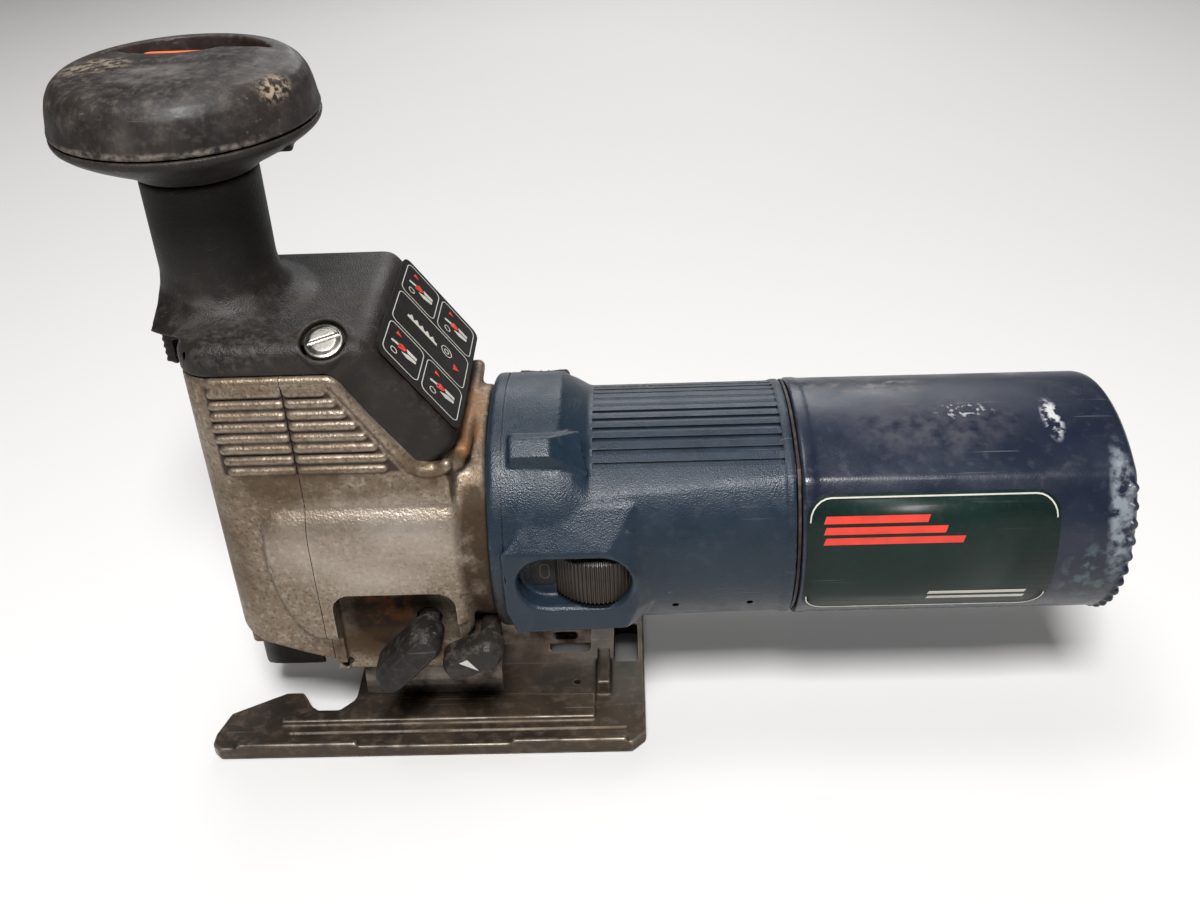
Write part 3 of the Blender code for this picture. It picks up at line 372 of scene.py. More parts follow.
class Finish:
    """A Principled material whose colour, roughness and height are built up in layers."""

    def __init__(self, name, colour, roughness, metallic=0.0, specular=0.5):
        self.material = bpy.data.materials.new(name)
        self.material.use_nodes = True
        self.tree = self.material.node_tree
        self.shader = self.tree.nodes["Principled BSDF"]
        self.shader.inputs["Specular IOR Level"].default_value = specular
        self.place = self.node("ShaderNodeTexCoord").outputs["Object"]
        self.colour = self.rgb(colour)
        self.rough = roughness
        self.metal = metallic
        self.height = None

    def node(self, kind, **values):
        made = self.tree.nodes.new(kind)
        for key, value in values.items():
            if hasattr(made, key):
                setattr(made, key, value)
            else:
                self.feed(made.inputs[key.replace("_", " ").title()], value)
        return made

    def feed(self, socket, value):
        if isinstance(value, bpy.types.NodeSocket):
            self.tree.links.new(value, socket)
        else:
            socket.default_value = value

    def rgb(self, colour):
        return (*colour, 1.0)

    def math(self, operation, a, b=0.0, clamp=False):
        made = self.node("ShaderNodeMath", operation=operation, use_clamp=clamp)
        self.feed(made.inputs[0], a)
        self.feed(made.inputs[1], b)
        return made.outputs[0]

    def product(self, first, *others):
        for other in others:
            first = self.math("MULTIPLY", first, other)
        return first

    def between(self, value, low, high, to_low=0.0, to_high=1.0):
        made = self.node("ShaderNodeMapRange", clamp=True)
        for socket, fed in zip(made.inputs, (value, low, high, to_low, to_high)):
            self.feed(socket, fed)
        return made.outputs[0]

    def noise(self, scale, detail=3.0, stretch=None, turn=(0, 0, 0), roughness=0.55):
        made = self.node("ShaderNodeTexNoise")
        made.inputs["Scale"].default_value = scale
        made.inputs["Detail"].default_value = detail
        made.inputs["Roughness"].default_value = roughness
        source = self.place
        if stretch:
            mapping = self.node("ShaderNodeMapping")
            mapping.inputs["Scale"].default_value = stretch
            mapping.inputs["Rotation"].default_value = [math.radians(a) for a in turn]
            self.feed(mapping.inputs["Vector"], self.place)
            source = mapping.outputs[0]
        self.feed(made.inputs["Vector"], source)
        return made.outputs["Fac"]

    def mixed(self, share, a, b, kind="RGBA"):
        made = self.node("ShaderNodeMix", data_type=kind, clamp_factor=True)
        first = {"RGBA": 6, "FLOAT": 2}[kind]
        self.feed(made.inputs[0], share)
        self.feed(made.inputs[first], a)
        self.feed(made.inputs[first + 1], b)
        return made.outputs[{"RGBA": 2, "FLOAT": 0}[kind]]

    def layer(self, mask, colour=None, rough=None, metal=None):
        """Paints over what is there where the mask is 1."""
        if colour is not None:
            self.colour = self.mixed(mask, self.colour, self.rgb(colour))
        if rough is not None:
            self.rough = self.mixed(mask, self.rough, rough, "FLOAT")
        if metal is not None:
            self.metal = self.mixed(mask, self.metal, metal, "FLOAT")
        return self

    def mottle(self, scale, colour, amount=0.6, rough=None, low=0.4, high=0.65):
        mask = self.product(self.between(self.noise(scale, 5.0), low, high), amount)
        return self.layer(mask, colour, rough)

    def worn_edges(self, colour, amount=0.8, low=0.53, high=0.60, rough=None, metal=None):
        edge = self.between(self.node("ShaderNodeNewGeometry").outputs["Pointiness"], low, high)
        patchy = self.between(self.noise(140.0, 4.0), 0.35, 0.6)
        return self.layer(self.product(edge, patchy, amount), colour, rough, metal)

    def grime_and_shade(self, colour, distance, amount=1.0, low=0.15, high=0.75, rough=None, metal=None):
        """Dirt and painted shade in corners: colour laid on where ambient occlusion finds the surface hidden.
        """
        corner = self.node("ShaderNodeAmbientOcclusion", samples=6)
        corner.inputs["Distance"].default_value = distance * MM
        hidden = self.math("SUBTRACT", 1.0, corner.outputs["AO"])
        spread = self.math("ADD", hidden, self.between(self.noise(110.0, 5.0), 0.3, 0.7, -0.25, 0.25))
        return self.layer(self.product(self.between(spread, low, high), amount), colour, rough, metal)

    def scratches(self, colour, amount=0.5, turn=(0, 0, 30), scale=1.0, keep=0.66, rough=None):
        thin = self.between(self.noise(60.0 * scale, 2.0, (0.35, 14.0, 14.0), turn), keep, keep + 0.05)
        patch = self.between(self.noise(38.0, 3.0), 0.45, 0.62)
        return self.layer(self.product(thin, patch, amount), colour, rough)

    def dusty(self, colour, amount=0.4, scale=300.0):
        """Specks and film on what faces up."""
        normal = self.node("ShaderNodeSeparateXYZ")
        self.feed(normal.inputs[0], self.node("ShaderNodeNewGeometry").outputs["Normal"])
        up = self.between(normal.outputs["Z"], -0.2, 0.9, 0.25, 1.0)
        film = self.between(self.noise(scale, 6.0, roughness=0.7), 0.5, 0.72)
        return self.layer(self.product(up, film, amount), colour, 0.8)

    def patch(self, centre, size, colour, amount=0.8, rough=None, scale=420.0, low=0.42, high=0.6):
        """One ragged mark around a point of the surface, in millimetres."""
        away = self.node("ShaderNodeVectorMath", operation="SUBTRACT")
        self.feed(away.inputs[0], self.place)
        away.inputs[1].default_value = [c * MM for c in centre]
        share = self.node("ShaderNodeVectorMath", operation="DIVIDE")
        self.feed(share.inputs[0], away.outputs[0])
        share.inputs[1].default_value = [s * MM for s in size]
        length = self.node("ShaderNodeVectorMath", operation="LENGTH")
        self.feed(length.inputs[0], share.outputs[0])
        inside = self.between(length.outputs["Value"], 0.55, 1.0, 1.0, 0.0)
        ragged = self.between(self.noise(scale, 5.0), low, high)
        return self.layer(self.product(inside, ragged, amount), colour, rough)

    def grain(self, scale, strength, detail=2.0):
        """Fine relief from noise, added to what relief there is."""
        self.relief(self.noise(scale, detail), strength)
        return self

    def leather(self, scale, strength):
        """The pebbled texture of moulded plastic."""
        cells = self.node("ShaderNodeTexVoronoi")
        cells.inputs["Scale"].default_value = scale
        self.feed(cells.inputs["Vector"], self.place)
        self.relief(cells.outputs["Distance"], strength)
        return self

    def relief(self, value, strength):
        scaled = self.math("MULTIPLY", value, strength)
        self.height = scaled if self.height is None else self.math("ADD", self.height, scaled)

    def uneven(self, scale, amount):
        """Roughness that varies over the surface."""
        shift = self.between(self.noise(scale, 4.0), 0.3, 0.7, -amount, amount)
        self.rough = self.math("ADD", self.rough, shift, clamp=True)
        return self

    def done(self):
        self.feed(self.shader.inputs["Base Color"], self.colour)
        self.feed(self.shader.inputs["Roughness"], self.rough)
        self.feed(self.shader.inputs["Metallic"], self.metal)
        if self.height is not None:
            bump = self.node("ShaderNodeBump")
            bump.inputs["Distance"].default_value = 0.001
            bump.inputs["Strength"].default_value = 1.0
            self.feed(bump.inputs["Height"], self.height)
            self.feed(self.shader.inputs["Normal"], bump.outputs[0])
        return self.material


BROWN = (0.060, 0.033, 0.016)


def louvre_gaps(f):
    """1 in the gaps between the louvre ribs, on both sides of the head."""
    split = f.node("ShaderNodeSeparateXYZ")
    f.feed(split.inputs[0], f.place)
    x, y, z = split.outputs
    out = f.math("ABSOLUTE", y)
    low = f.between(out, (HEAD_HALF + 0.30) * MM, (HEAD_HALF + 0.75) * MM, 1.0, 0.0)
    flank = f.between(out, (HEAD_HALF - 1.5) * MM, (HEAD_HALF - 1.0) * MM)
    height = f.product(f.between(z, 0.0906, 0.0914), f.between(z, 0.1160, 0.1168, 1.0, 0.0))
    lean = f.math("ADD", x, f.math("MULTIPLY", f.math("SUBTRACT", z, 0.1146), 0.64))
    length = f.product(f.between(x, -0.0427, -0.0419), f.between(lean, -0.0132, -0.0124, 1.0, 0.0))
    return f.product(height, length, low, flank)


def cast_finish():
    f = Finish("cast_alloy", (0.230, 0.182, 0.134), 0.42, 0.72)
    f.mottle(24.0, (0.148, 0.100, 0.062), 0.85, 0.50, 0.38, 0.62)
    f.mottle(620.0, (0.38, 0.33, 0.27), 0.50, 0.34, 0.50, 0.66)
    f.mottle(1000.0, (0.075, 0.048, 0.028), 0.70, 0.6, 0.52, 0.66)
    # dirt and painted shade: near-black brown in the corners and recesses of the castings
    f.grime_and_shade((0.026, 0.014, 0.007), 5.0, 0.98, 0.18, 0.62, 0.75, 0.1)
    f.worn_edges((0.50, 0.45, 0.38), 0.45, 0.515, 0.56, 0.30, 0.9)
    f.patch((-9, -31, 70), (30, 8, 18), (0.46, 0.41, 0.35), 0.65, 0.36, 40.0, 0.25, 0.55)
    f.patch((17, -24, 84), (8, 12, 7), (0.60, 0.56, 0.50), 0.6, 0.35, 90.0, 0.35, 0.6)
    f.patch((-46, -20, 60), (9, 20, 46), (0.105, 0.072, 0.044), 0.75, 0.6, 60.0, 0.3, 0.6)
    f.patch((-20, -28, 88), (34, 6, 7), (0.085, 0.055, 0.030), 0.8, 0.6, 120.0, 0.34, 0.62)
    f.patch((-6, -25.2, 42), (19, 4.5, 19), (0.020, 0.010, 0.005), 0.96, 0.85, 150.0, 0.15, 0.42)
    f.patch((-8, -27, 46), (12, 8, 8), (0.17, 0.066, 0.018), 0.6, 0.85, 230.0, 0.48, 0.64)
    f.patch((19, -28, 66), (6, 40, 34), (0.045, 0.026, 0.012), 0.92, 0.8, 120.0, 0.26, 0.5)
    f.patch((18, -12, 95), (5, 26, 6), (0.27, 0.12, 0.045), 0.8, 0.6, 160.0, 0.34, 0.6)
    f.patch((-4, -26, 32), (34, 22, 7), (0.070, 0.040, 0.018), 0.8, 0.75, 130.0, 0.3, 0.55)
    f.patch((11, -29, 92), (12, 8, 9), (0.095, 0.055, 0.026), 0.75, 0.6, 200.0, 0.36, 0.56)
    # painted shade and dirt: near-black in the recessed gaps between the louvre ribs
    f.layer(louvre_gaps(f), (0.028, 0.015, 0.008), 0.8, 0.1)
    f.grain(420.0, 0.12, 4.0).grain(1500.0, 0.14).uneven(90.0, 0.08)
    return f.done()


def black_finish(name="black_plastic", wear=0.35, base=(0.0105, 0.0088, 0.0076)):
    f = Finish(name, base, 0.48, specular=0.22)
    f.mottle(60.0, (0.022, 0.018, 0.015), 0.8).grime_and_shade((0.018, 0.011, 0.006), 4.0, 0.7)
    f.worn_edges((0.11, 0.095, 0.08), wear, 0.515, 0.58)
    f.scratches((0.10, 0.09, 0.08), wear, (0, 0, 20)).dusty((0.13, 0.115, 0.10), wear * 0.7)
    f.leather(2200.0, 0.07).grain(1200.0, 0.05).uneven(120.0, 0.10)
    return f


def cover_finish():
    f = black_finish("cover_plastic")
    # painted shade: near-black on the knob post, in the shade under the knob
    f.patch((-41.6, 0, 152), (22, 22, 22), (0.0030, 0.0024, 0.0020), 0.95, 0.62, 30.0, 0.0, 0.1)
    f.patch((-34, -26, 126), (13, 10, 7), (0.12, 0.11, 0.10), 0.3, 0.6, 620.0, 0.46, 0.66)
    f.patch((-38, -20, 131), (16, 14, 5), (0.075, 0.066, 0.060), 0.4, 0.55, 240.0, 0.40, 0.66)
    return f.done()


def rubber_finish():
    f = Finish("knob_rubber", (0.0115, 0.0090, 0.0082), 0.46, specular=0.26)
    f.mottle(45.0, (0.030, 0.024, 0.021), 0.75).mottle(150.0, (0.060, 0.050, 0.044), 0.45, 0.66, 0.5, 0.7)
    f.scratches((0.20, 0.17, 0.145), 0.45, (20, 30, 70), 1.2).dusty((0.17, 0.145, 0.12), 0.35, 420.0)
    f.patch((-14.5, -15, 183.5), (5.5, 8, 4), (0.36, 0.28, 0.20), 0.75, 0.8, 700.0, 0.46, 0.58)
    f.patch((-58.5, -3, 185.5), (10, 7, 4), (0.24, 0.19, 0.14), 0.65, 0.8, 520.0, 0.46, 0.6)
    f.patch((-42, -12, 187), (13, 9, 3), (0.15, 0.135, 0.13), 0.6, 0.5, 200.0, 0.36, 0.66)
    f.patch((-42, -27, 173.8), (40, 12, 1.6), (0.18, 0.15, 0.12), 0.7, 0.8, 500.0, 0.4, 0.6)
    f.grain(900.0, 0.06).grain(260.0, 0.10).uneven(140.0, 0.12)
    return f.done()


def blue_finish():
    f = Finish("blue_plastic", (0.0080, 0.0165, 0.0270), 0.36, specular=0.30)
    f.mottle(40.0, (0.015, 0.025, 0.040), 0.7).mottle(300.0, (0.035, 0.045, 0.055), 0.25, 0.55, 0.52, 0.7)
    f.worn_edges((0.09, 0.11, 0.13), 0.5, 0.515, 0.58)
    f.grime_and_shade((0.006, 0.007, 0.008), 3.0, 0.85, 0.12, 0.6)
    f.scratches((0.16, 0.17, 0.18), 0.3, (0, 10, 8))
    f.patch((24, -20, 48), (5, 24, 20), (0.045, 0.032, 0.020), 0.75, 0.8)
    f.leather(2700.0, 0.06).grain(1700.0, 0.06).uneven(160.0, 0.07)
    return f.done()


def cap_finish():
    f = Finish("blue_cap_plastic", (0.0095, 0.0130, 0.0250), 0.28, specular=0.34)
    f.mottle(30.0, (0.019, 0.024, 0.040), 0.7, 0.40)
    f.mottle(330.0, (0.045, 0.050, 0.066), 0.22, 0.55, 0.55, 0.7)
    f.patch((137, -8, 90), (26, 17, 9), (0.055, 0.055, 0.066), 0.55, 0.6, 300.0, 0.35, 0.65)
    f.patch((146, -6, 92), (9, 4, 5), (0.40, 0.40, 0.42), 0.7, 0.6, 620.0, 0.55, 0.62)
    f.patch((168, -9, 89), (3, 9, 6), (0.52, 0.52, 0.53), 0.8, 0.6, 380.0, 0.46, 0.56)
    f.patch((176, -31, 55), (9, 14, 14), (0.10, 0.15, 0.15), 0.6, 0.7, 300.0, 0.50, 0.64)
    f.patch((124, 10, 92), (22, 9, 5), (0.22, 0.19, 0.15), 0.5, 0.7, 300.0, 0.5, 0.66)
    f.patch((182, -30, 75), (4, 20, 22), (0.24, 0.27, 0.30), 0.7, 0.6, 320.0, 0.42, 0.6)
    f.worn_edges((0.13, 0.14, 0.17), 0.45, 0.515, 0.58)
    f.scratches((0.20, 0.21, 0.23), 0.28, (0, 20, 35), 1.1, 0.68)
    f.scratches((0.16, 0.17, 0.19), 0.2, (0, 0, 80), 0.8, 0.7)
    f.grain(700.0, 0.02).grain(2400.0, 0.03).uneven(90.0, 0.08)
    return f.done()


def steel_finish(name="ground_steel", colour=(0.36, 0.34, 0.31), rough=0.34):
    f = Finish(name, colour, rough, 1.0)
    f.mottle(220.0, (0.22, 0.19, 0.15), 0.5, 0.5, 0.5, 0.7).grime_and_shade(BROWN, 2.0, 0.8, rough=0.7, metal=0.2)
    f.scratches((0.60, 0.59, 0.56), 0.5, (0, 0, 45)).grain(1400.0, 0.03).uneven(400.0, 0.1)
    return f.done()


def dark_steel_finish():
    f = Finish("dark_steel", (0.058, 0.046, 0.037), 0.44, 0.75)
    f.mottle(55.0, (0.100, 0.068, 0.042), 0.7, 0.6).mottle(300.0, (0.16, 0.115, 0.080), 0.45, 0.6, 0.5, 0.7)
    f.grime_and_shade((0.020, 0.013, 0.008), 4.0, 0.85, rough=0.75, metal=0.3)
    f.worn_edges((0.42, 0.37, 0.32), 0.8, 0.512, 0.56, 0.34, 0.9)
    f.patch((55, 10, 4), (14, 34, 8), (0.105, 0.120, 0.105), 0.6, 0.6, 120.0, 0.35, 0.6)
    f.scratches((0.30, 0.26, 0.22), 0.5, (0, 0, 5)).dusty((0.20, 0.17, 0.14), 0.25)
    f.grain(650.0, 0.08, 4.0).uneven(120.0, 0.1)
    return f.done()


def plain_finish(name, colour, rough, metallic=0.0, second=None):
    f = Finish(name, colour, rough, metallic)
    f.mottle(180.0, second or [c * 0.7 for c in colour], 0.6, min(1.0, rough + 0.15))
    f.grime_and_shade((0.02, 0.015, 0.01), 2.5, 0.5).grain(900.0, 0.04).uneven(200.0, 0.08)
    return f.done()


def film_finish(name, colour):
    f = Finish(name, colour, 0.34, specular=0.18)
    f.mottle(60.0, [c * 1.5 for c in colour], 0.6).scratches((0.12, 0.125, 0.12), 0.3, (0, 10, 60), 1.3)
    f.dusty((0.10, 0.10, 0.09), 0.10, 500.0).grain(1200.0, 0.015).uneven(80.0, 0.06)
    return f.done()


CAST = cast_finish()
BLACK = black_finish().done()
WORN_BLACK = black_finish("worn_black", 0.75).done()
COVER_BLACK = cover_finish()
RUBBER = rubber_finish()
BLUE = blue_finish()
CAP_BLUE = cap_finish()
STEEL = steel_finish()
DARK_STEEL = dark_steel_finish()
ORANGE = plain_finish("orange_plastic", (0.80, 0.13, 0.040), 0.42)
COPPER = plain_finish("copper_winding", (0.46, 0.20, 0.09), 0.36, 0.8, (0.30, 0.12, 0.05))
BRONZE = plain_finish("bronze", (0.40, 0.25, 0.11), 0.40, 1.0)
CARBON = plain_finish("carbon", (0.025, 0.025, 0.025), 0.6)
WHEEL = plain_finish("wheel_plastic", (0.022, 0.015, 0.010), 0.42)
TAB = plain_finish("tab_plastic", (0.0045, 0.0045, 0.0048), 0.62)
FILM = film_finish("plate_film", (0.0060, 0.0150, 0.0125))
BLACK_FILM = film_finish("picture_film", (0.0085, 0.0080, 0.0068))
PRINT = plain_finish("pale_print", (0.52, 0.50, 0.45), 0.45)
DIM_PRINT = plain_finish("dim_print", (0.055, 0.042, 0.030), 0.55)
RED_PRINT = plain_finish("red_print", (0.62, 0.040, 0.022), 0.45)

BY_SLOT = {"cast": CAST, "black_plastic": BLACK, "black_rubber": RUBBER, "blue_plastic": BLUE,
           "blue_cap": CAP_BLUE, "steel": STEEL, "dark_steel": DARK_STEEL, "orange_plastic": ORANGE,
           "copper": COPPER, "bronze": BRONZE, "carbon": CARBON, "label": FILM}

for row in frame["record"]["subparts"]:
    node = frame["nodes"][row["node"]]
    node.data.materials.clear()
    node.data.materials.append(BY_SLOT[row["material_slot"]])


def dress(obj, body, material, slot, *nodes):
    """Gives a piece its finish and body, and hides the CAD nodes it stands for."""
    obj.data.materials.clear()
    obj.data.materials.append(material)
    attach(obj, body)
    if nodes:
        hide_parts(*nodes)
    return obj


# ---- gear head -----------------------------------------------------------------------------------

def under_sole(x0, x1):
    """What the tilting sole sweeps."""
    far, slope = 60.0, 0.70
    return prism([(-far, PIVOT_Z - 30), (far, PIVOT_Z - 30), (far, PIVOT_Z + slope * far), (0, PIVOT_Z),
                  (-far, PIVOT_Z + slope * far)], "X", x0, x1)


def cover_edge():
    """Side view (x, z) of the line where the top cover sits in the castings."""
    return ([(FRONT_X, 119.0), (-12.4, 119.0)] + arc((-13.6, 115.0), 4.2, 72, 44, 3)
            + arc((9.2, 98.4), 6.2, 222, 318, 8))


def louvres(x_from, x_to):
    """Ribs on both sides of the head, inside a slanting field, between two stations."""
    ribs = []
    for i in range(8):
        z = 114.6 - 3.2 * i
        front = max(x_from, -41.4 + 0.75 * abs(i - 3.0) ** 1.2 * (0.25 if i < 3 else 0.42))
        rear = min(x_to, -14.0 + 2.05 * i - (2.4 if i == 7 else 0))
        if rear - front < 3:
            continue
        for side in (-1, 1):
            y = side * (HEAD_HALF + 0.25)
            ribs.append(bar((front, y, z), (rear, y, z), 1.12))
    return ribs


def edge_bead(x_from, x_to):
    """The rounded rim that follows the cover's edge."""
    line = cover_edge()
    beads = []
    for (x0, z0), (x1, z1) in zip(line, line[1:]):
        lo, hi = max(x0, x_from), min(x1, x_to)
        if hi <= lo:
            continue
        z_lo = z0 + (z1 - z0) * (lo - x0) / (x1 - x0)
        z_hi = z0 + (z1 - z0) * (hi - x0) / (x1 - x0)
        for side in (-1, 1):
            y = side * (HEAD_HALF - 0.7)
            beads.append(bar((lo, y, z_lo - 1.9), (hi, y, z_hi - 1.9), 1.75))
    return beads


def side_pads():
    """Raised lower sides with sloping borders, across both castings."""
    outline = ([(16.5, 40.0), (16.5, 78.0)] + arc((12.0, 77.5), 4.0, 20, 90, 3)
               + arc((-31.5, 77.0), 4.5, 90, 160, 3)
               + [(-36.8, 72.0), (-37.2, 63.0), (-35.8, 53.0), (-33.2, 44.5), (-29.0, 38.0), (13.0, 34.0)])
    pads = []
    middle = Vector((-10.0, 58.0))
    for side in (-1, 1):
        points = []
        rise = HEAD_HI.y - HEAD_HALF + 1.0
        for x, z in outline:
            toward = (middle - Vector((x, z))).normalized()
            drop = 17.0 if z > 70 else 4.0
            for share in (0.0, 0.08, 0.2, 0.35, 0.55, 0.8, 1.0):
                y = HEAD_HALF - 1.0 + rise * (1 - (1 - share) ** 2.6)
                points.append((x + toward.x * 4.4 * share, side * y, z + toward.y * drop * share))
        pads.append(hull(points))
    return pads


def make_rear_casting():
    side = [(PARTING_X - 3, 12.0), (20.0, 12.0), (20.0, 34.0), (14.0, 38.0), (14.0, 88.5), (11.6, 92.4),
            (10.0, 92.6), (-12.0, 118.4), (PARTING_X - 3, HEAD_TOP_Z)]
    adds = [prism(side, "Y", -HEAD_HALF, HEAD_HALF), spindle(10, HEAD_HI.x, 32.0, 96)]
    adds.append(bar((17.2, -21.5, 92.6), (17.2, 21.5, 92.6), 2.1))
    neck = [(9, 84), (17, 87.5), (18.4, 94.2), (12.0, 94.0)]
    adds.append(hull([(x, y, z) for x, z in neck for y in (-23.0, 23.0)]))
    adds += side_pads()
    late = louvres(PARTING_X + 1.2, 20) + edge_bead(PARTING_X - 3, 13.6)
    for side_y in (-1, 1):
        late.append(crossbar(-21.0, 26, side_y * 20, side_y * 27.5, 5.0))
    inner = HEAD_HALF - HEAD_WALL
    pocket = ([(-20.5, 8.0), (12.0, 8.0)] + arc((7.0, 49.5), 5.0, 0, 90, 6)
              + arc((-15.5, 49.5), 5.0, 90, 180, 6))
    room = [(PARTING_X - 5, 50), (11, 50), (11, 87.5), (9.8, 90.4), (-11.6, ROOM_TOP_Z),
            (PARTING_X - 5, ROOM_TOP_Z)]
    cuts = [under_sole(PARTING_X - 5, 40), rod((PARTING_X - 5, 0, PIVOT_Z), (40, 0, PIVOT_Z), 16.4, 64),
            prism(room, "Y", -inner, inner),
            spindle(10, 30, 11.3),
            prism([(PARTING_X - 5, 10), (-8, 10), (8.5, 30), (8.5, 52), (PARTING_X - 5, 52)], "Y", -9.5, 9.5),
            prism(pocket, "Y", -40, -25.2),
            crossbar(ORBIT_HUB[0], ORBIT_HUB[1], -40, -5, 3.4),
            crossbar(BLOWER_HUB[0], BLOWER_HUB[1], -40, -15, 2.9),
            block((10, -40, 18), (30, -30.6, 44)), block((-40, -40, 10), (-20.0, -26.5, 27.5)),
            crossbar(-21.0, 26, -40, -24, 1.4),
            rod((0, 0, 89.225), (17.0, 0, 89.225), 4.3),
            crossbar(-13, 38, -20, 20, 2.3), upright(11.5, 15, 36, 2.7)]
    fine = [[block((-FAR, -FAR, 0), (PARTING_X, FAR, 140))]]
    obj = fused("rear_casting", adds, cuts, VOXEL, CAST_SOFTEN, late, fine)
    return dress(obj, "housing", CAST, "cast", "gear_housing")


def make_front_casting():
    x1 = PARTING_X - SEAM_GAP
    over = PARTING_X + 3
    plan = [(over, -HEAD_HALF), (over, HEAD_HALF)]
    for side, start in ((1, 90), (-1, 180)):
        plan += arc((FRONT_X + 10, side * (HEAD_HALF - 10)), 10, start, start + 90, 12)
    adds = [prism(plan, "Z", FRONT_LO.z + 0.5, HEAD_TOP_Z),
            upright(POST_X, FRONT_LO.z + 0.5, HEAD_TOP_Z, 13.0, 64)] + side_pads()
    late = louvres(-60, x1 - 0.9) + edge_bead(-40, over)
    inner = HEAD_HALF - HEAD_WALL
    skirt = [(-60.0, 10.0), (-60.0, 42.0), (-47.0, 38.0), (-30.0, 31.0), (over + 1, 27.6), (over + 1, 10.0)]
    cuts = [under_sole(-70, over + 5), block((FRONT_X + 3.2, -inner, 57.5), (over + 1, inner, 110)),
            block((-33, -inner, 50), (over + 1, inner, ROOM_TOP_Z)), upright(POST_X, 20, 130, 8.3),
            upright(POST_X, 10, 45, 9.2), block((-31.5, -9.5, 10), (over + 1, 9.5, 52)),
            block((-40, -9.2, 10), (over + 1, 9.2, 45)), prism(skirt, "Y", -40, -17.5),
            prism(skirt, "Y", 17.5, 40)]
    fine = [[block((x1, -FAR, 0), (20, FAR, 140))]]
    obj = fused("front_casting", adds, cuts, VOXEL, CAST_SOFTEN, late, fine)
    return dress(obj, "housing", CAST, "cast", "front_cover")


def make_guard():
    def loop(x_end, half, radius):
        return ([(x_end, half)] + arc((GUARD_X, GUARD_Y), radius, 90, 180, 8)
                + arc((GUARD_X, -GUARD_Y), radius, 180, 270, 8) + [(x_end, -half)])

    guard_lo, guard_hi = span("chip_guard")
    cuts = [prism(loop(-28.0, 13.6, 5.7), "Z", 0, 40), under_sole(-70, -20),
            prism([(-60, 10), (-42, 10), (-60, 22)], "Y", -30, 30)]
    obj = fused("chip_screen", [prism(loop(-31.0, 15.5, 7.5), "Z", guard_lo.z, guard_hi.z)], cuts, 0.4, 4)
    return dress(obj, "housing", BLACK, "black_plastic", "chip_guard")


# ---- top cover and knob --------------------------------------------------------------------------

def make_top_shell():
    edge = cover_edge()
    roof = arc((-5.5, 122.0), 5.0, 40, 90, 5)
    side = [(FRONT_X - 0.2, ROOF_Z), (FRONT_X - 0.2, 86.4), (5.0, 86.4), (18.2, 98.0)] + roof
    plan = rounded(FRONT_X - 0.2, 40.0, -HEAD_HALF - 0.01, HEAD_HALF + 0.01, 10.0)
    body = to_object("top_shell", prism(side, "Y", -HEAD_HALF, HEAD_HALF))
    mask = to_object("plan_tool", prism(plan, "Z", 80.0, 130.0))
    boolean(body, mask, "INTERSECT", "EXACT")
    settled(body, [mask])
    shell = taken(bevelled(body, 4.6, 6, 42))
    flare = [(0, POST_TOP_Z), (POST_R - 0.3, POST_TOP_Z), (POST_R, POST_TOP_Z - 0.4), (POST_R, 137.0),
             (POST_R + 0.7, 133.0), (POST_R + 2.6, 130.0), (POST_R + 5.6, 128.0), (POST_R + 9.5, 126.6),
             (0, 126.0)]
    post = turned(flare, (POST_X, 0, 0))
    bmesh.ops.bisect_plane(post, geom=post.verts[:] + post.edges[:] + post.faces[:],
                           plane_co=(POST_X - POST_R - 0.2, 0, 0), plane_no=(-1, 0, 0), clear_outer=True)
    bmesh.ops.holes_fill(post, edges=post.edges)
    adds = [shell, post, upright(POST_X, 119.0, 124.5, 13.0),
            block((-56.6, -8.0, 112.0), (FRONT_X + 3, 8.0, 122.0))]
    late = []
    for i in range(5):
        z = 113.4 + 1.9 * i
        late.append(bar((-57.0, -7.6, z), (-57.0, 7.6, z), 0.75))
    late.append(rod(SCREW_AT - SCREW_OUT * 6, SCREW_AT + SCREW_OUT * 0.6, 6.7))
    room = [(-46.5, 115.0), (-13.0, 115.0), (9.0, 91.0), (14.5, 97.0), (-3.0, 121.8), (-6.0, ROOF_Z - 2.6),
            (-46.5, ROOF_Z - 2.6)]
    below = [(-70, 60), (-70, 119.0)] + edge[1:] + [(22, 86), (22, 60)]
    cuts = [prism(room, "Y", -HEAD_HALF + 2.6, HEAD_HALF - 2.6), upright(POST_X, 100, 170, 10.0),
            block((POST_X - 13.3, -9, 100), (-40, 9, 119)),
            prism(below, "Y", -40, -9.0), prism(below, "Y", 9.0, 40),
            prism([(-48.8, 60), (-48.8, 119)] + below[2:], "Y", -10, 10),
            rod(SCREW_AT - SCREW_OUT * 1.6, SCREW_AT + SCREW_OUT * 8.0, 5.4, 48, 6.4)]
    obj = fused("top_shell", adds, cuts, VOXEL, 10, late)
    return dress(obj, "housing", COVER_BLACK, "black_plastic", "top_cover")


def make_cover_screw():
    foot = SCREW_AT - SCREW_OUT * 1.4
    face = foot + SCREW_OUT * 2.2
    along = Vector((0.94, 0.30, 0.17)).normalized()
    along = (along - SCREW_OUT * along.dot(SCREW_OUT)).normalized()
    head = [rod(foot, face - SCREW_OUT * 0.7, 4.7), rod(face - SCREW_OUT * 1.0, face, 4.6, 48, 3.2)]
    obj = fused("cover_screw", head, [bar(face - along * 7, face + along * 7, 0.62)], 0.16, 3)
    return dress(obj, "housing", STEEL, "steel", "side_screw")


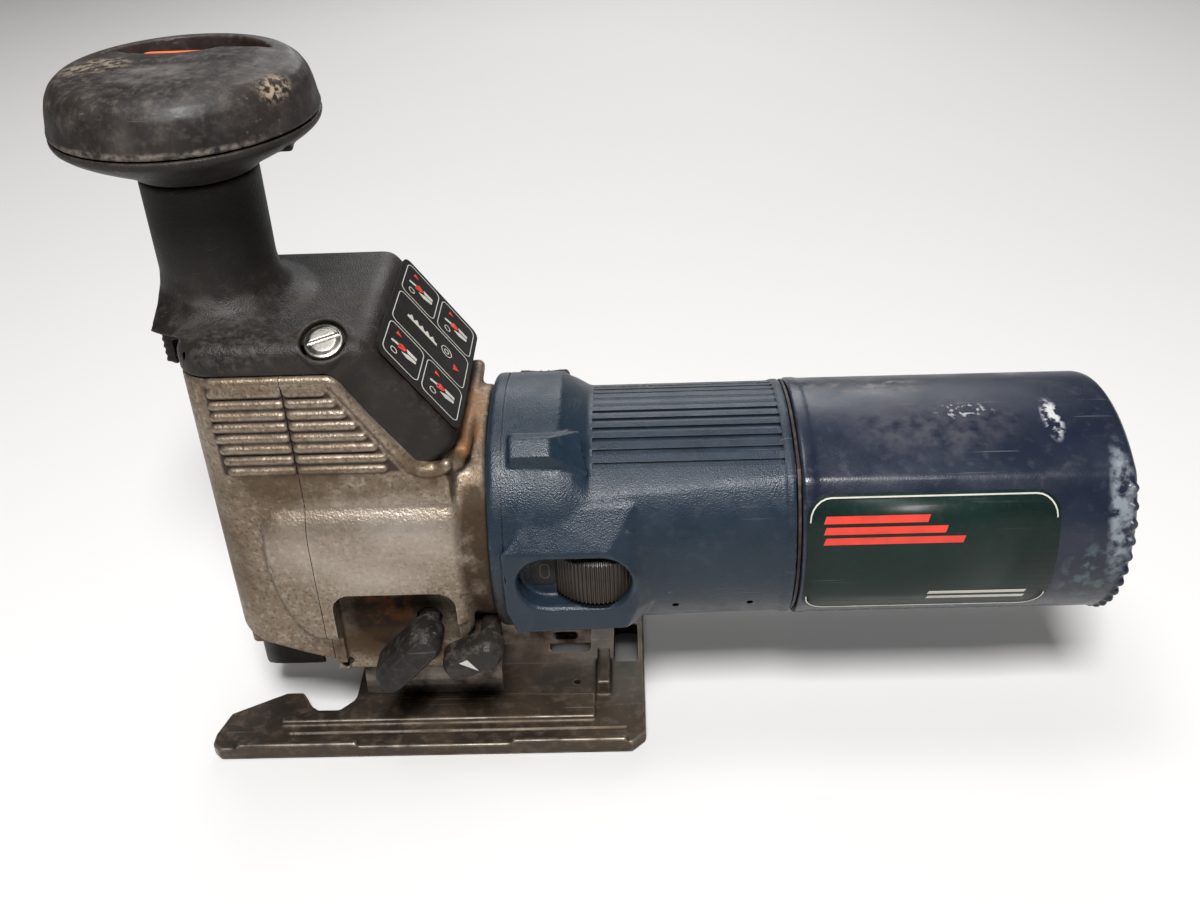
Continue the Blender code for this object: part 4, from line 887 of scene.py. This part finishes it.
def make_saucer():
    profile = [(0, SEAM_Z - 3.5), (20.0, SEAM_Z - 3.5), (24.0, SEAM_Z), (KNOB_R - 0.3, SEAM_Z),
               (KNOB_R, SEAM_Z - 0.4), (KNOB_R - 0.5, 171.2), (29.0, 169.8), (26.4, 168.2), (23.0, 166.4),
               (19.0, 164.4), (16.4, 162.8), (15.0, 161.7), (POST_R + 0.2, 161.3), (0, 161.3)]
    adds = [turned(profile, (POST_X, 0, 0))]
    for angle in (205, 338, 90):
        a = math.radians(angle)
        spot = Vector((POST_X + 27.0 * math.cos(a), 27.0 * math.sin(a), 168.6))
        adds.append(block(spot + Vector((-1.3, -1.3, -0.9)), spot + Vector((1.3, 1.3, 3))))
    obj = fused("knob_saucer", adds, [upright(POST_X, 150, 180, 9.0)], 0.4, 3)
    return dress(obj, "housing", BLACK, "black_plastic", "knob_base")


def make_dome():
    z0 = DOME_LO.z
    profile = [(0, KNOB_TOP_Z), (12.0, KNOB_TOP_Z), (19.0, KNOB_TOP_Z - 0.25), (23.4, KNOB_TOP_Z - 0.9),
               (26.2, 185.2), (28.2, 183.6), (29.5, 181.4), (30.2, 178.8), (30.6, 176.2), (30.9, 174.5),
               (KNOB_R, 174.0), (KNOB_R - 0.2, z0), (24.5, z0), (24.5, 175.2), (3.6, 175.2), (3.6, 177.5),
               (0, 177.5)]
    arm_z = (ARM_LO.z + ARM_HI.z) / 2
    pocket_y, pocket_r = ARM_LO.y + 1.3, 21.8
    edge = math.degrees(math.asin(pocket_y / pocket_r))
    pocket = arc((POST_X, 0), pocket_r, edge, 180 - edge, 30)
    pivot_x = POST_X + 11.0
    cuts = [prism(pocket, "Z", arm_z - 3.4, 192.0),
            crossbar(pivot_x, arm_z, pocket_y - 1.6, pocket_y + 12.5, 1.5),
            ball((POST_X - 5.0, pocket_y, KNOB_TOP_Z + 9.6), 1.0, (27.0, 8.5, 11.0))]
    obj = fused("knob_dome", [turned(profile, (POST_X, 0, 0))], cuts, VOXEL, 8)
    return dress(obj, "knob", RUBBER, "black_rubber", "knob_cap")


def make_crank():
    z = (ARM_LO.z + ARM_HI.z) / 2
    y0 = ARM_LO.y + 2.0
    outline = capsule((POST_X - 11.0, z), (POST_X + 11.0, z), 2.9)
    pin_x = POST_X + 11.0
    arm = [prism(outline, "Y", y0, y0 + 6.1), crossbar(pin_x, z, ARM_LO.y, ARM_HI.y, 1.2)]
    groove = bar((POST_X - 8, y0 + 3, z + 3.4), (POST_X + 5, y0 + 3, z + 3.4), 1.1)
    obj = fused("folded_crank", arm, [groove], 0.3, 3)
    return dress(obj, "crank", ORANGE, "orange_plastic", "crank_arm")


# ---- motor barrel --------------------------------------------------------------------------------

def to_switch_side(shape):
    """Turns a shape that was made on top of the motor barrel around to the switch on the far side."""
    bmesh.ops.rotate(shape, verts=shape.verts, cent=(0, 0, BARREL_Z),
                     matrix=Matrix.Rotation(-SWITCH_TURN, 3, "X"))
    return shape


def around_barrel(x, angle, reach):
    """A point off the motor axis at an angle above the near side."""
    a = math.radians(180 - angle)
    return Vector((x, reach * math.cos(a), BARREL_Z + reach * math.sin(a)))


def score(angle, x0, x1, depth, radius, top):
    """A cutter for one line along the barrel: a small step in, and a ramp back out below it."""
    a = math.radians(angle)
    down = 1 if angle > 90 else -1
    skin = barrel_radius(a, radius, top)
    points = []
    for x in (x0, x1):
        for reach, w in ((skin - depth, -0.15), (skin + 1.0, -0.15), (skin + 1.0, 1.7), (skin + 0.02, 1.7)):
            w = down * w
            points.append(Vector((x, reach * math.cos(a) - w * math.sin(a),
                                  BARREL_Z + reach * math.sin(a) + w * math.cos(a))))
    return hull(points)


def make_grip_shell():
    end = BARREL_HI.x
    start = BARREL_LO.x
    stations = [(start, 34.2, 32.4), (start + 1.2, COLLAR_R, COLLAR_TOP),
                (COLLAR_END_X, COLLAR_R, COLLAR_TOP),
                (44.5, 34.6, 31.0), (GRIP_X, BARREL_R + 1.4, BARREL_TOP), (60.0, BARREL_R + 0.8, BARREL_TOP),
                (75.0, BARREL_R + 0.4, BARREL_TOP),
                (end - 2.6, BARREL_R, BARREL_TOP), (end - 2.2, BARREL_R + 0.5, BARREL_TOP + 0.5),
                (end, BARREL_R + 0.5, BARREL_TOP + 0.5)]
    adds = [barrel(stations)]
    face = [(25.8, 69.8), (53.0, 69.8), (59.8, 61.5), (60.0, 52.0), (57.0, 45.5), (28.5, 44.5), (25.8, 52.0)]
    crest = [(35.5, -30.2, 79.6), (59.8, -29.2, 79.6), (64.0, -31.5, 62.0), (64.0, -31.5, 50.0)]
    foot = [(35.5, 79.8), (60.0, 79.8), (64.5, 62.0), (64.5, 47.0), (60.0, 38.5), (27.0, 38.5),
            (24.6, 52.0), (24.6, 69.0)]
    adds.append(hull([(x, -36.4, z) for x, z in face] + crest + [(x, -26.0, z) for x, z in foot]))
    boss = [around_barrel(x, angle, 37.9) for x in (28.6, 38.8) for angle in (50.5, 58.5)]
    base = [(28.4, 44.5), (49.0, 43.5), (28.4, 66.0), (47.0, 66.0)]
    boss += [around_barrel(x, angle, 33.0) for x, angle in base]
    adds.append(hull(boss))
    cuts = [barrel([(26.0, 29.6, 25.3), (110.0, 29.6, 25.3)], 120), spindle(10, 30, 15.0),
            to_switch_side(block((29.0, -3.4, 82.0), (45.5, 3.4, 110.0)))]
    dial_x, dial_y = (DIAL_LO.x + DIAL_HI.x) / 2, (DIAL_LO.y + DIAL_HI.y) / 2
    cuts.append(rod((dial_x, dial_y, DIAL_LO.z - 0.4), (dial_x, dial_y, DIAL_HI.z + 0.4), 13.4))
    cuts.append(prism(capsule((37.0, 60.2), (51.0, 60.2), 7.7), "Y", -45, -30.5))
    flare = capsule((37.0, 60.2), (51.0, 60.2), 9.3)
    throat = capsule((37.0, 60.2), (51.0, 60.2), 7.0)
    cuts.append(loft([[(x, -37.4, z) for x, z in flare], [(x, -34.6, z) for x, z in throat]]))
    fine = [crossbar(x, 47, -60, -20, 0.95, 24) for x in (70.1, 89.8)]
    for side in (-1, 1):
        for angle in (50.6, 58.1, 65.6, 73.1, 80.6, 87.8):
            turned_to = 90 + side * (90 - angle)
            fine.append(score(turned_to, 49.4, 98.4, 0.55, BARREL_R, BARREL_TOP))
    rings = []
    for x, reach in ((26.3, -0.35), (26.3, 1.2), (26.7, 1.2), (26.7, -0.35)):
        rings.append([(x, (barrel_radius(a, COLLAR_R, COLLAR_TOP) + reach) * math.cos(a),
                       BARREL_Z + (barrel_radius(a, COLLAR_R, COLLAR_TOP) + reach) * math.sin(a))
                      for a in (2 * math.pi * i / 120 for i in range(120))])
    fine.append(loft(rings, closed=True))
    obj = fused("grip_shell", adds, cuts, 0.40, 6, fine=[fine])
    return dress(obj, "housing", BLUE, "blue_plastic", "motor_housing")


def make_rear_shell():
    x0, x1 = CAP_LO.x, CAP_HI.x
    stations = [(x0, 33.2, 28.9), (x0 + 0.5, 33.5, 29.2), (x0 + 3.0, 33.5, 29.2), (x0 + 3.6, 33.2, 28.9),
                (x1 - 3.4, 33.2, 28.7), (x1 - 1.6, 32.7, 28.2), (x1 - 0.4, 31.4, 26.8), (x1, 29.6, 25.2)]
    adds = [barrel(stations)]
    for i in range(44):
        angle = 2 * math.pi * i / 44
        if 35 < math.degrees(angle) < 145:
            continue
        reach = barrel_radius(angle, 32.6, 28.2)
        y, z = reach * math.cos(angle), BARREL_Z + reach * math.sin(angle)
        adds.append(ball((x1 - 1.8, y, z), 1.45))
    cuts = [barrel([(x0 - 10, 30.0, 25.6), (x1 - 3.5, 30.0, 25.6)], 120),
            rod((170, 0, BARREL_Z - 12), (200, 0, BARREL_Z - 12), 5.4)]
    for i in range(10):
        angle = math.radians(18 + 36 * i)
        if math.sin(angle) < -0.9:
            continue
        vent = block((x1 - 8, 16.0, -1.3), (x1 + 5, 24.5, 1.3))
        bmesh.ops.rotate(vent, verts=vent.verts, matrix=Matrix.Rotation(angle, 3, "X"))
        bmesh.ops.translate(vent, verts=vent.verts, vec=(0, 0, BARREL_Z))
        cuts.append(vent)
    for side in (-1, 1):
        cuts.append(rod((170, side * 13, BARREL_Z - 1), (200, side * 13, BARREL_Z - 1), 2.0))
    obj = fused("rear_shell", adds, cuts, VOXEL, 4)
    return dress(obj, "housing", CAP_BLUE, "blue_cap", "rear_cap")


def wrapped(name, outline, inner, lift):
    """A thin film on the barrel's side from a flat outline (x, z), or a line between two outlines."""
    film = prism(outline, "Y", 0, 0.4 if lift == 0 else 0.2)
    for z in range(int(PLATE_LO.z), int(PLATE_HI.z) + 2, 2):
        bmesh.ops.bisect_plane(film, geom=film.verts[:] + film.edges[:] + film.faces[:], plane_co=(0, 0, z),
                               plane_no=(0, 0, 1))
    if inner:
        film.free()
        film = loft([[(x, d, z) for x, z in outline] for d in (0, 0.12)]
                    + [[(x, d, z) for x, z in inner] for d in (0.12, 0)], closed=True)
    for v in film.verts:
        up = (v.co.z - BARREL_Z) / 33.5
        up = max(-0.999, min(0.999, up))
        reach = 33.45 + lift + v.co.y
        v.co.y = -reach * math.sqrt(1 - up * up)
        v.co.z = BARREL_Z + reach * up
    bmesh.ops.recalc_face_normals(film, faces=film.faces)
    return to_object(name, film)


def make_nameplate():
    x0, x1, z0, z1 = PLATE_LO.x, PLATE_HI.x, PLATE_LO.z, PLATE_HI.z
    film = wrapped("name_film", rounded(x0, x1, z0, z1, 6.0), None, 0.0)
    film.data.shade_smooth()
    dress(film, "housing", FILM, "label", "nameplate")
    outer = rounded(x0 + 0.7, x1 - 0.7, z0 + 0.7, z1 - 0.7, 5.4)
    inner = rounded(x0 + 1.05, x1 - 1.05, z0 + 1.05, z1 - 1.05, 5.1)
    line = wrapped("name_border", outer, inner, 0.42)
    dress(line, "housing", PRINT, "label")
    stripes = [(x0 + 4.2, 68.6 + 2.7 * i, 35.0 - 4.5 * i, 1.8, RED_PRINT) for i in range(3)]
    stripes += [(x1 - 31.0, 49.0 + 2.2 * i, 25.0, 1.0, PRINT) for i in range(2)]
    for number, (left, low, length, height, finish) in enumerate(stripes):
        right, top, slant = left + length, low + height, 0.35 * height
        outline = [(left, low), (right, low), (right + slant, top), (left + slant, top)]
        stripe = wrapped(f"name_stripe_{number}", outline, None, 0.30)
        dress(stripe, "housing", finish, "label")


# ---- pictures on the sloping plate -----------------------------------------------------------------

def make_pictures():
    run = Vector((19.2, 0, -27.0)).normalized()
    normal = Vector((27.0, 0, 19.2)).normalized()
    top = Vector((-1.0, 0, 125.0)) + run * 0.6 + normal * 0.3
    length, half = 30.0, 25.0

    def sticker(name, shapes, low, high):
        return gathered(name, [loft([[top + run * u + Vector((0, w, 0)) + normal * d for u, w in outline]
                                     for d in (low, high)]) for outline in shapes])

    def strokes(points, line=0.24):
        """Thin strips along a closed line."""
        strips = []
        for a, b in zip(points, points[1:] + points[:1]):
            step = Vector((b[0] - a[0], b[1] - a[1]))
            if step.length < 1e-6:
                continue
            side = Vector((-step.y, step.x)).normalized() * line / 2
            strips.append([(a[0] + side.x, a[1] + side.y), (a[0] - side.x, a[1] - side.y),
                           (b[0] - side.x, b[1] - side.y), (b[0] + side.x, b[1] + side.y)])
        return strips

    def around(u, w, *points):
        return [(u + du, w + dw) for du, dw in points]

    def ring(u, w, radius):
        return strokes(arc((u, w), radius, 0, 180 * 13 / 7, 13))

    plate = sticker("picture_plate", [rounded(0, length, -half, half, 2.5)], 0.0, 0.6)
    dress(plate, "housing", BLACK_FILM, "label", "pictogram_plate")
    panels = [(1.6, 14.0, -23.4, -9.0), (15.4, 28.4, -23.4, -9.0), (1.6, 28.4, -7.6, 7.6),
              (1.6, 14.0, 9.0, 23.4), (15.4, 28.4, 9.0, 23.4)]
    pale, red = [], []
    for u0, u1, w0, w1 in panels:
        pale += strokes(rounded(u0, u1, w0, w1, 1.8, 4))
        u, w = (u0 + u1) / 2, (w0 + w1) / 2
        if u1 - u0 < 20:
            pale.append(around(u, w, (-0.6, -1.5), (1.6, -2.0), (4.4, -1.0), (4.4, 0.1), (1.8, -0.2)))
            pale.append(around(u, w, (1.4, 0.3), (4.4, 0.6), (4.4, 1.7), (0.8, 1.6)))
            pale.append(capsule((u - 4.0, w - 0.4), (u - 1.2, w + 0.3), 0.42, 4))
            red.append(around(u, w, (-1.9, -1.2), (0.2, -0.4), (1.0, 0.8), (-0.8, 1.7), (-2.0, 0.6)))
            red.append(around(u, w, (-3.6, 3.6), (-1.6, 4.1), (-3.2, 5.2)))
            pale += ring(u - 2.8, w - 3.8, 1.0)
        else:
            pale.append(around(u, w, (-9.0, -0.6), (2.0, -0.6), (2.0, 0.4), (-9.0, 0.4)))
            for k in range(5):
                pale.append(around(u + 2 * k, w, (-8.6, 0.3), (-6.8, 0.3), (-7.8, 1.7)))
            pale += ring(u + 5.6, w + 1.6, 1.9) + ring(u + 5.6, w + 1.6, 0.8)
            red.append(around(u, w, (8.8, -3.2), (11.0, -1.6), (8.8, -0.4)))
    dress(sticker("picture_lines", pale, 0.62, 0.70), "housing", PRINT, "label")
    dress(sticker("picture_arrows", red, 0.62, 0.70), "housing", RED_PRINT, "label")


# ---- levers, switch and wheel ----------------------------------------------------------------------

def lever_shape(hub, tip, radius, y_out, y_in):
    """A grip that narrows to a flat outer face."""
    wide, narrow = capsule(hub, tip, radius, 8), capsule(hub, tip, radius - 1.5, 8)
    middle = y_out + 2.6
    points = [(x, y, z) for x, z in wide for y in (y_in, middle)] + [(x, y_out, z) for x, z in narrow]
    return hull(points)


def make_lever(name, node, body, hub, tip, radius, y_in, shaft_y, shaft_r, voxel):
    lo, hi = span(node)
    shaft = crossbar(hub[0], hub[1], shaft_y, hi.y, shaft_r)
    grip = lever_shape(hub, tip, radius, lo.y, y_in)
    dress(fused(name, [grip, shaft], [], voxel, 4), body, WORN_BLACK, "black_plastic", node)
    return lo.y


def make_levers():
    make_lever("orbit_grip", "orbit_lever", "orbit", ORBIT_HUB, ORBIT_TIP, 4.7, -29.5, -31, 3.0, 0.30)
    face_y = make_lever("blower_grip", "blower_lever", "blower", BLOWER_HUB, BLOWER_TIP, 4.5, -31.2, -33, 2.5,
                        0.28)
    mark = prism([(12.4, 36.4), (17.4, 33.7), (14.6, 37.6)], "Y", face_y - 0.08, face_y + 0.4)
    dress(to_object("blower_mark", mark), "blower", PRINT, "black_plastic")


def make_slide():
    z0 = BARREL_Z + COLLAR_R + 0.3
    side = [(27.5, z0), (42.5, z0), (41.6, z0 + 1.3), (35.0, z0 + 0.9), (28.4, z0 + 1.3)]
    adds = [prism(side, "Y", -7.5, 7.5),
            block((33.0, -3.0, BARREL_Z + 28.9), (37.5, 3.0, z0 + 0.5))]
    for i in range(6):
        x = 29.6 + 2.2 * i
        adds.append(bar((x, -6.4, z0 + 1.1), (x, 6.4, z0 + 1.1), 0.55))
    adds = [to_switch_side(shape) for shape in adds]
    dress(fused("thumb_slide", adds, [], 0.28, 3), "switch", BLACK, "black_plastic", "slide_button")


def make_wheel():
    """The speed wheel, finely ribbed along its edge."""
    x, y = (DIAL_LO.x + DIAL_HI.x) / 2, (DIAL_LO.y + DIAL_HI.y) / 2
    radius = (DIAL_HI.x - DIAL_LO.x) / 2
    teeth = 72
    rings = []
    for z, drop in ((DIAL_LO.z, 1.2), (DIAL_LO.z + 0.9, 0.0), (DIAL_HI.z - 0.9, 0.0), (DIAL_HI.z, 1.2)):
        ring = []
        for i in range(teeth * 4):
            a = 2 * math.pi * i / (teeth * 4)
            r = radius - drop - (0.0 if i % 4 in (0, 1) else 0.5)
            ring.append((x + r * math.cos(a), y + r * math.sin(a), z))
        rings.append(ring)
    obj = to_object("ribbed_wheel", loft(rings))
    dress(obj, "wheel", WHEEL, "black_plastic", "speed_dial")


def make_digit():
    """The figure beside the speed wheel: a generic zero on a small dark tab."""
    x, z, y = 36.2, 60.6, -30.35
    tab = prism(rounded(x - 3.8, x + 2.8, z - 4.6, z + 4.6, 1.2), "Y", y - 0.4, y - 0.05)
    tab = bevelled(to_object("digit_tab", tab), 0.1, 3, 30)
    tab.data.set_sharp_from_angle(angle=math.radians(40))
    dress(tab, "housing", TAB, "black_plastic")
    outer, inner = capsule((x, z - 1.1), (x, z + 1.1), 1.35), capsule((x, z - 1.1), (x, z + 1.1), 0.95)
    figure = loft([[(u, d, w) for u, w in outer] for d in (y - 0.42, y - 0.5)]
                  + [[(u, d, w) for u, w in inner] for d in (y - 0.5, y - 0.42)], closed=True)
    dress(to_object("digit_zero", figure), "housing", DIM_PRINT, "label")


# ---- sole ------------------------------------------------------------------------------------------

def sole_outline(grow=0.0):
    half_x, half_y = SOLE_HI.x - grow, SOLE_HI.y - grow
    half = [(57.5, -half_y), (-59.0, -half_y), (-half_x, -34.5), (-half_x, -31.0)]
    half += [(-59.0 + grow, -22.6), (-44.5, -14.6 - grow), (-39.5, -14.5 - grow)]
    half += arc((-30.6, -15.3), 7.2 + grow, 200, 360, 12)
    mirrored = [(x, -y) for x, y in reversed(half)]
    return [(half_x, -33.0)] + half + mirrored + [(half_x, 33.0)]


def make_sole():
    top = 4.0
    adds = [prism(sole_outline(), "Z", 0.0, top)]
    rib = [(-43.0, -28.0), (47.0, -28.0), (47.0, -18.6), (-22.5, -18.6), (-27.0, -23.4), (-34.0, -23.4),
           (-43.0, -26.0)]
    for side in (-1, 1):
        adds.append(prism([(x, -side * y) for x, y in rib], "Z", top - 1, top + 1.4))
        for x0, x1 in ((-54.0, -20.0), (24.0, 56.0)):
            lo, hi = sorted((side * 35.2, side * SOLE_HI.y))
            adds.append(block((x0, lo, top - 1), (x1, hi, top + 1.2)))
    adds.append(block((47.6, -18.0, top - 1), (51.4, -3.0, 9.0)))
    cuts = [prism(rounded(52.6, 59.5, -4.0, 12.5, 1.2), "Z", -5, 10),
            prism(rounded(33.0, 45.0, 0.5, 12.5, 2.0), "Z", -5, 10),
            upright(11.5, -5, 10, 5.4), rod((41.5, -12.5, -5), (41.5, -12.5, 10), 0.95)]
    cuts += [bar((-40, y, top + 0.3), (56, y, top + 0.3), 0.8) for y in (-31.6, 31.6)]
    obj = fused("sole_plate", adds, cuts, 0.40, 3)
    return dress(obj, "sole", DARK_STEEL, "dark_steel", "base_plate")


# ---- studio ----------------------------------------------------------------------------------------

def make_studio():
    floor = bpy.data.meshes.new("floor")
    reach = 3.0
    corners = [(-reach, -reach, 0), (reach, -reach, 0), (reach, reach, 0), (-reach, reach, 0)]
    floor.from_pydata(corners, [], [(0, 1, 2, 3)])
    ground = bpy.data.objects.new("floor", floor)
    ground.location.z = -0.0002
    bpy.context.scene.collection.objects.link(ground)
    paper = Finish("paper", (0.62, 0.61, 0.60), 0.9, 0.0, 0.1)
    paper.mottle(3.0, (0.60, 0.59, 0.58), 0.5)
    floor.materials.append(paper.done())

    world = bpy.data.worlds.new("studio")
    world.use_nodes = True
    world.node_tree.nodes["Background"].inputs["Color"].default_value = (1.0, 1.0, 1.0, 1.0)
    world.node_tree.nodes["Background"].inputs["Strength"].default_value = 0.07
    bpy.context.scene.world = world

    for name, spot, aim, size, power in (("key", (0.06, -0.56, 0.98), (0.06, 0, 0.08), 0.26, 18.0),
                                         ("top", (-0.10, 0.10, 1.05), (0.02, 0, 0.10), 0.35, 3.5),
                                         ("rim", (0.10, 0.90, 0.60), (0.05, 0, 0.10), 0.60, 4.0)):
        light = bpy.data.lights.new(name, "AREA")
        light.size = size
        light.energy = power
        lamp = bpy.data.objects.new(name, light)
        lamp.location = spot
        lamp.rotation_euler = (Vector(aim) - Vector(spot)).to_track_quat("-Z", "Y").to_euler()
        bpy.context.scene.collection.objects.link(lamp)

    camera = bpy.data.cameras.new("camera")
    camera.sensor_width = 36.0
    camera.lens = 37.68
    camera.clip_start, camera.clip_end = 0.01, 20.0
    eye = bpy.data.objects.new("camera", camera)
    aim = (Matrix.Rotation(math.radians(1.97), 4, "Z") @ Matrix.Rotation(math.radians(90 - 33.18), 4, "X")
           @ Matrix.Rotation(math.radians(-2.58), 4, "Z"))
    eye.matrix_world = Matrix.Translation((0.06075, -0.28583, 0.26446)) @ aim
    bpy.context.scene.collection.objects.link(eye)
    bpy.context.scene.camera = eye
    bpy.context.scene.view_settings.view_transform = "Standard"


make_studio()
make_rear_casting()
make_front_casting()
make_guard()
make_top_shell()
make_cover_screw()
make_saucer()
make_dome()
make_crank()
make_grip_shell()
make_rear_shell()
make_nameplate()
make_pictures()
make_levers()
make_slide()
make_wheel()
make_digit()
make_sole()
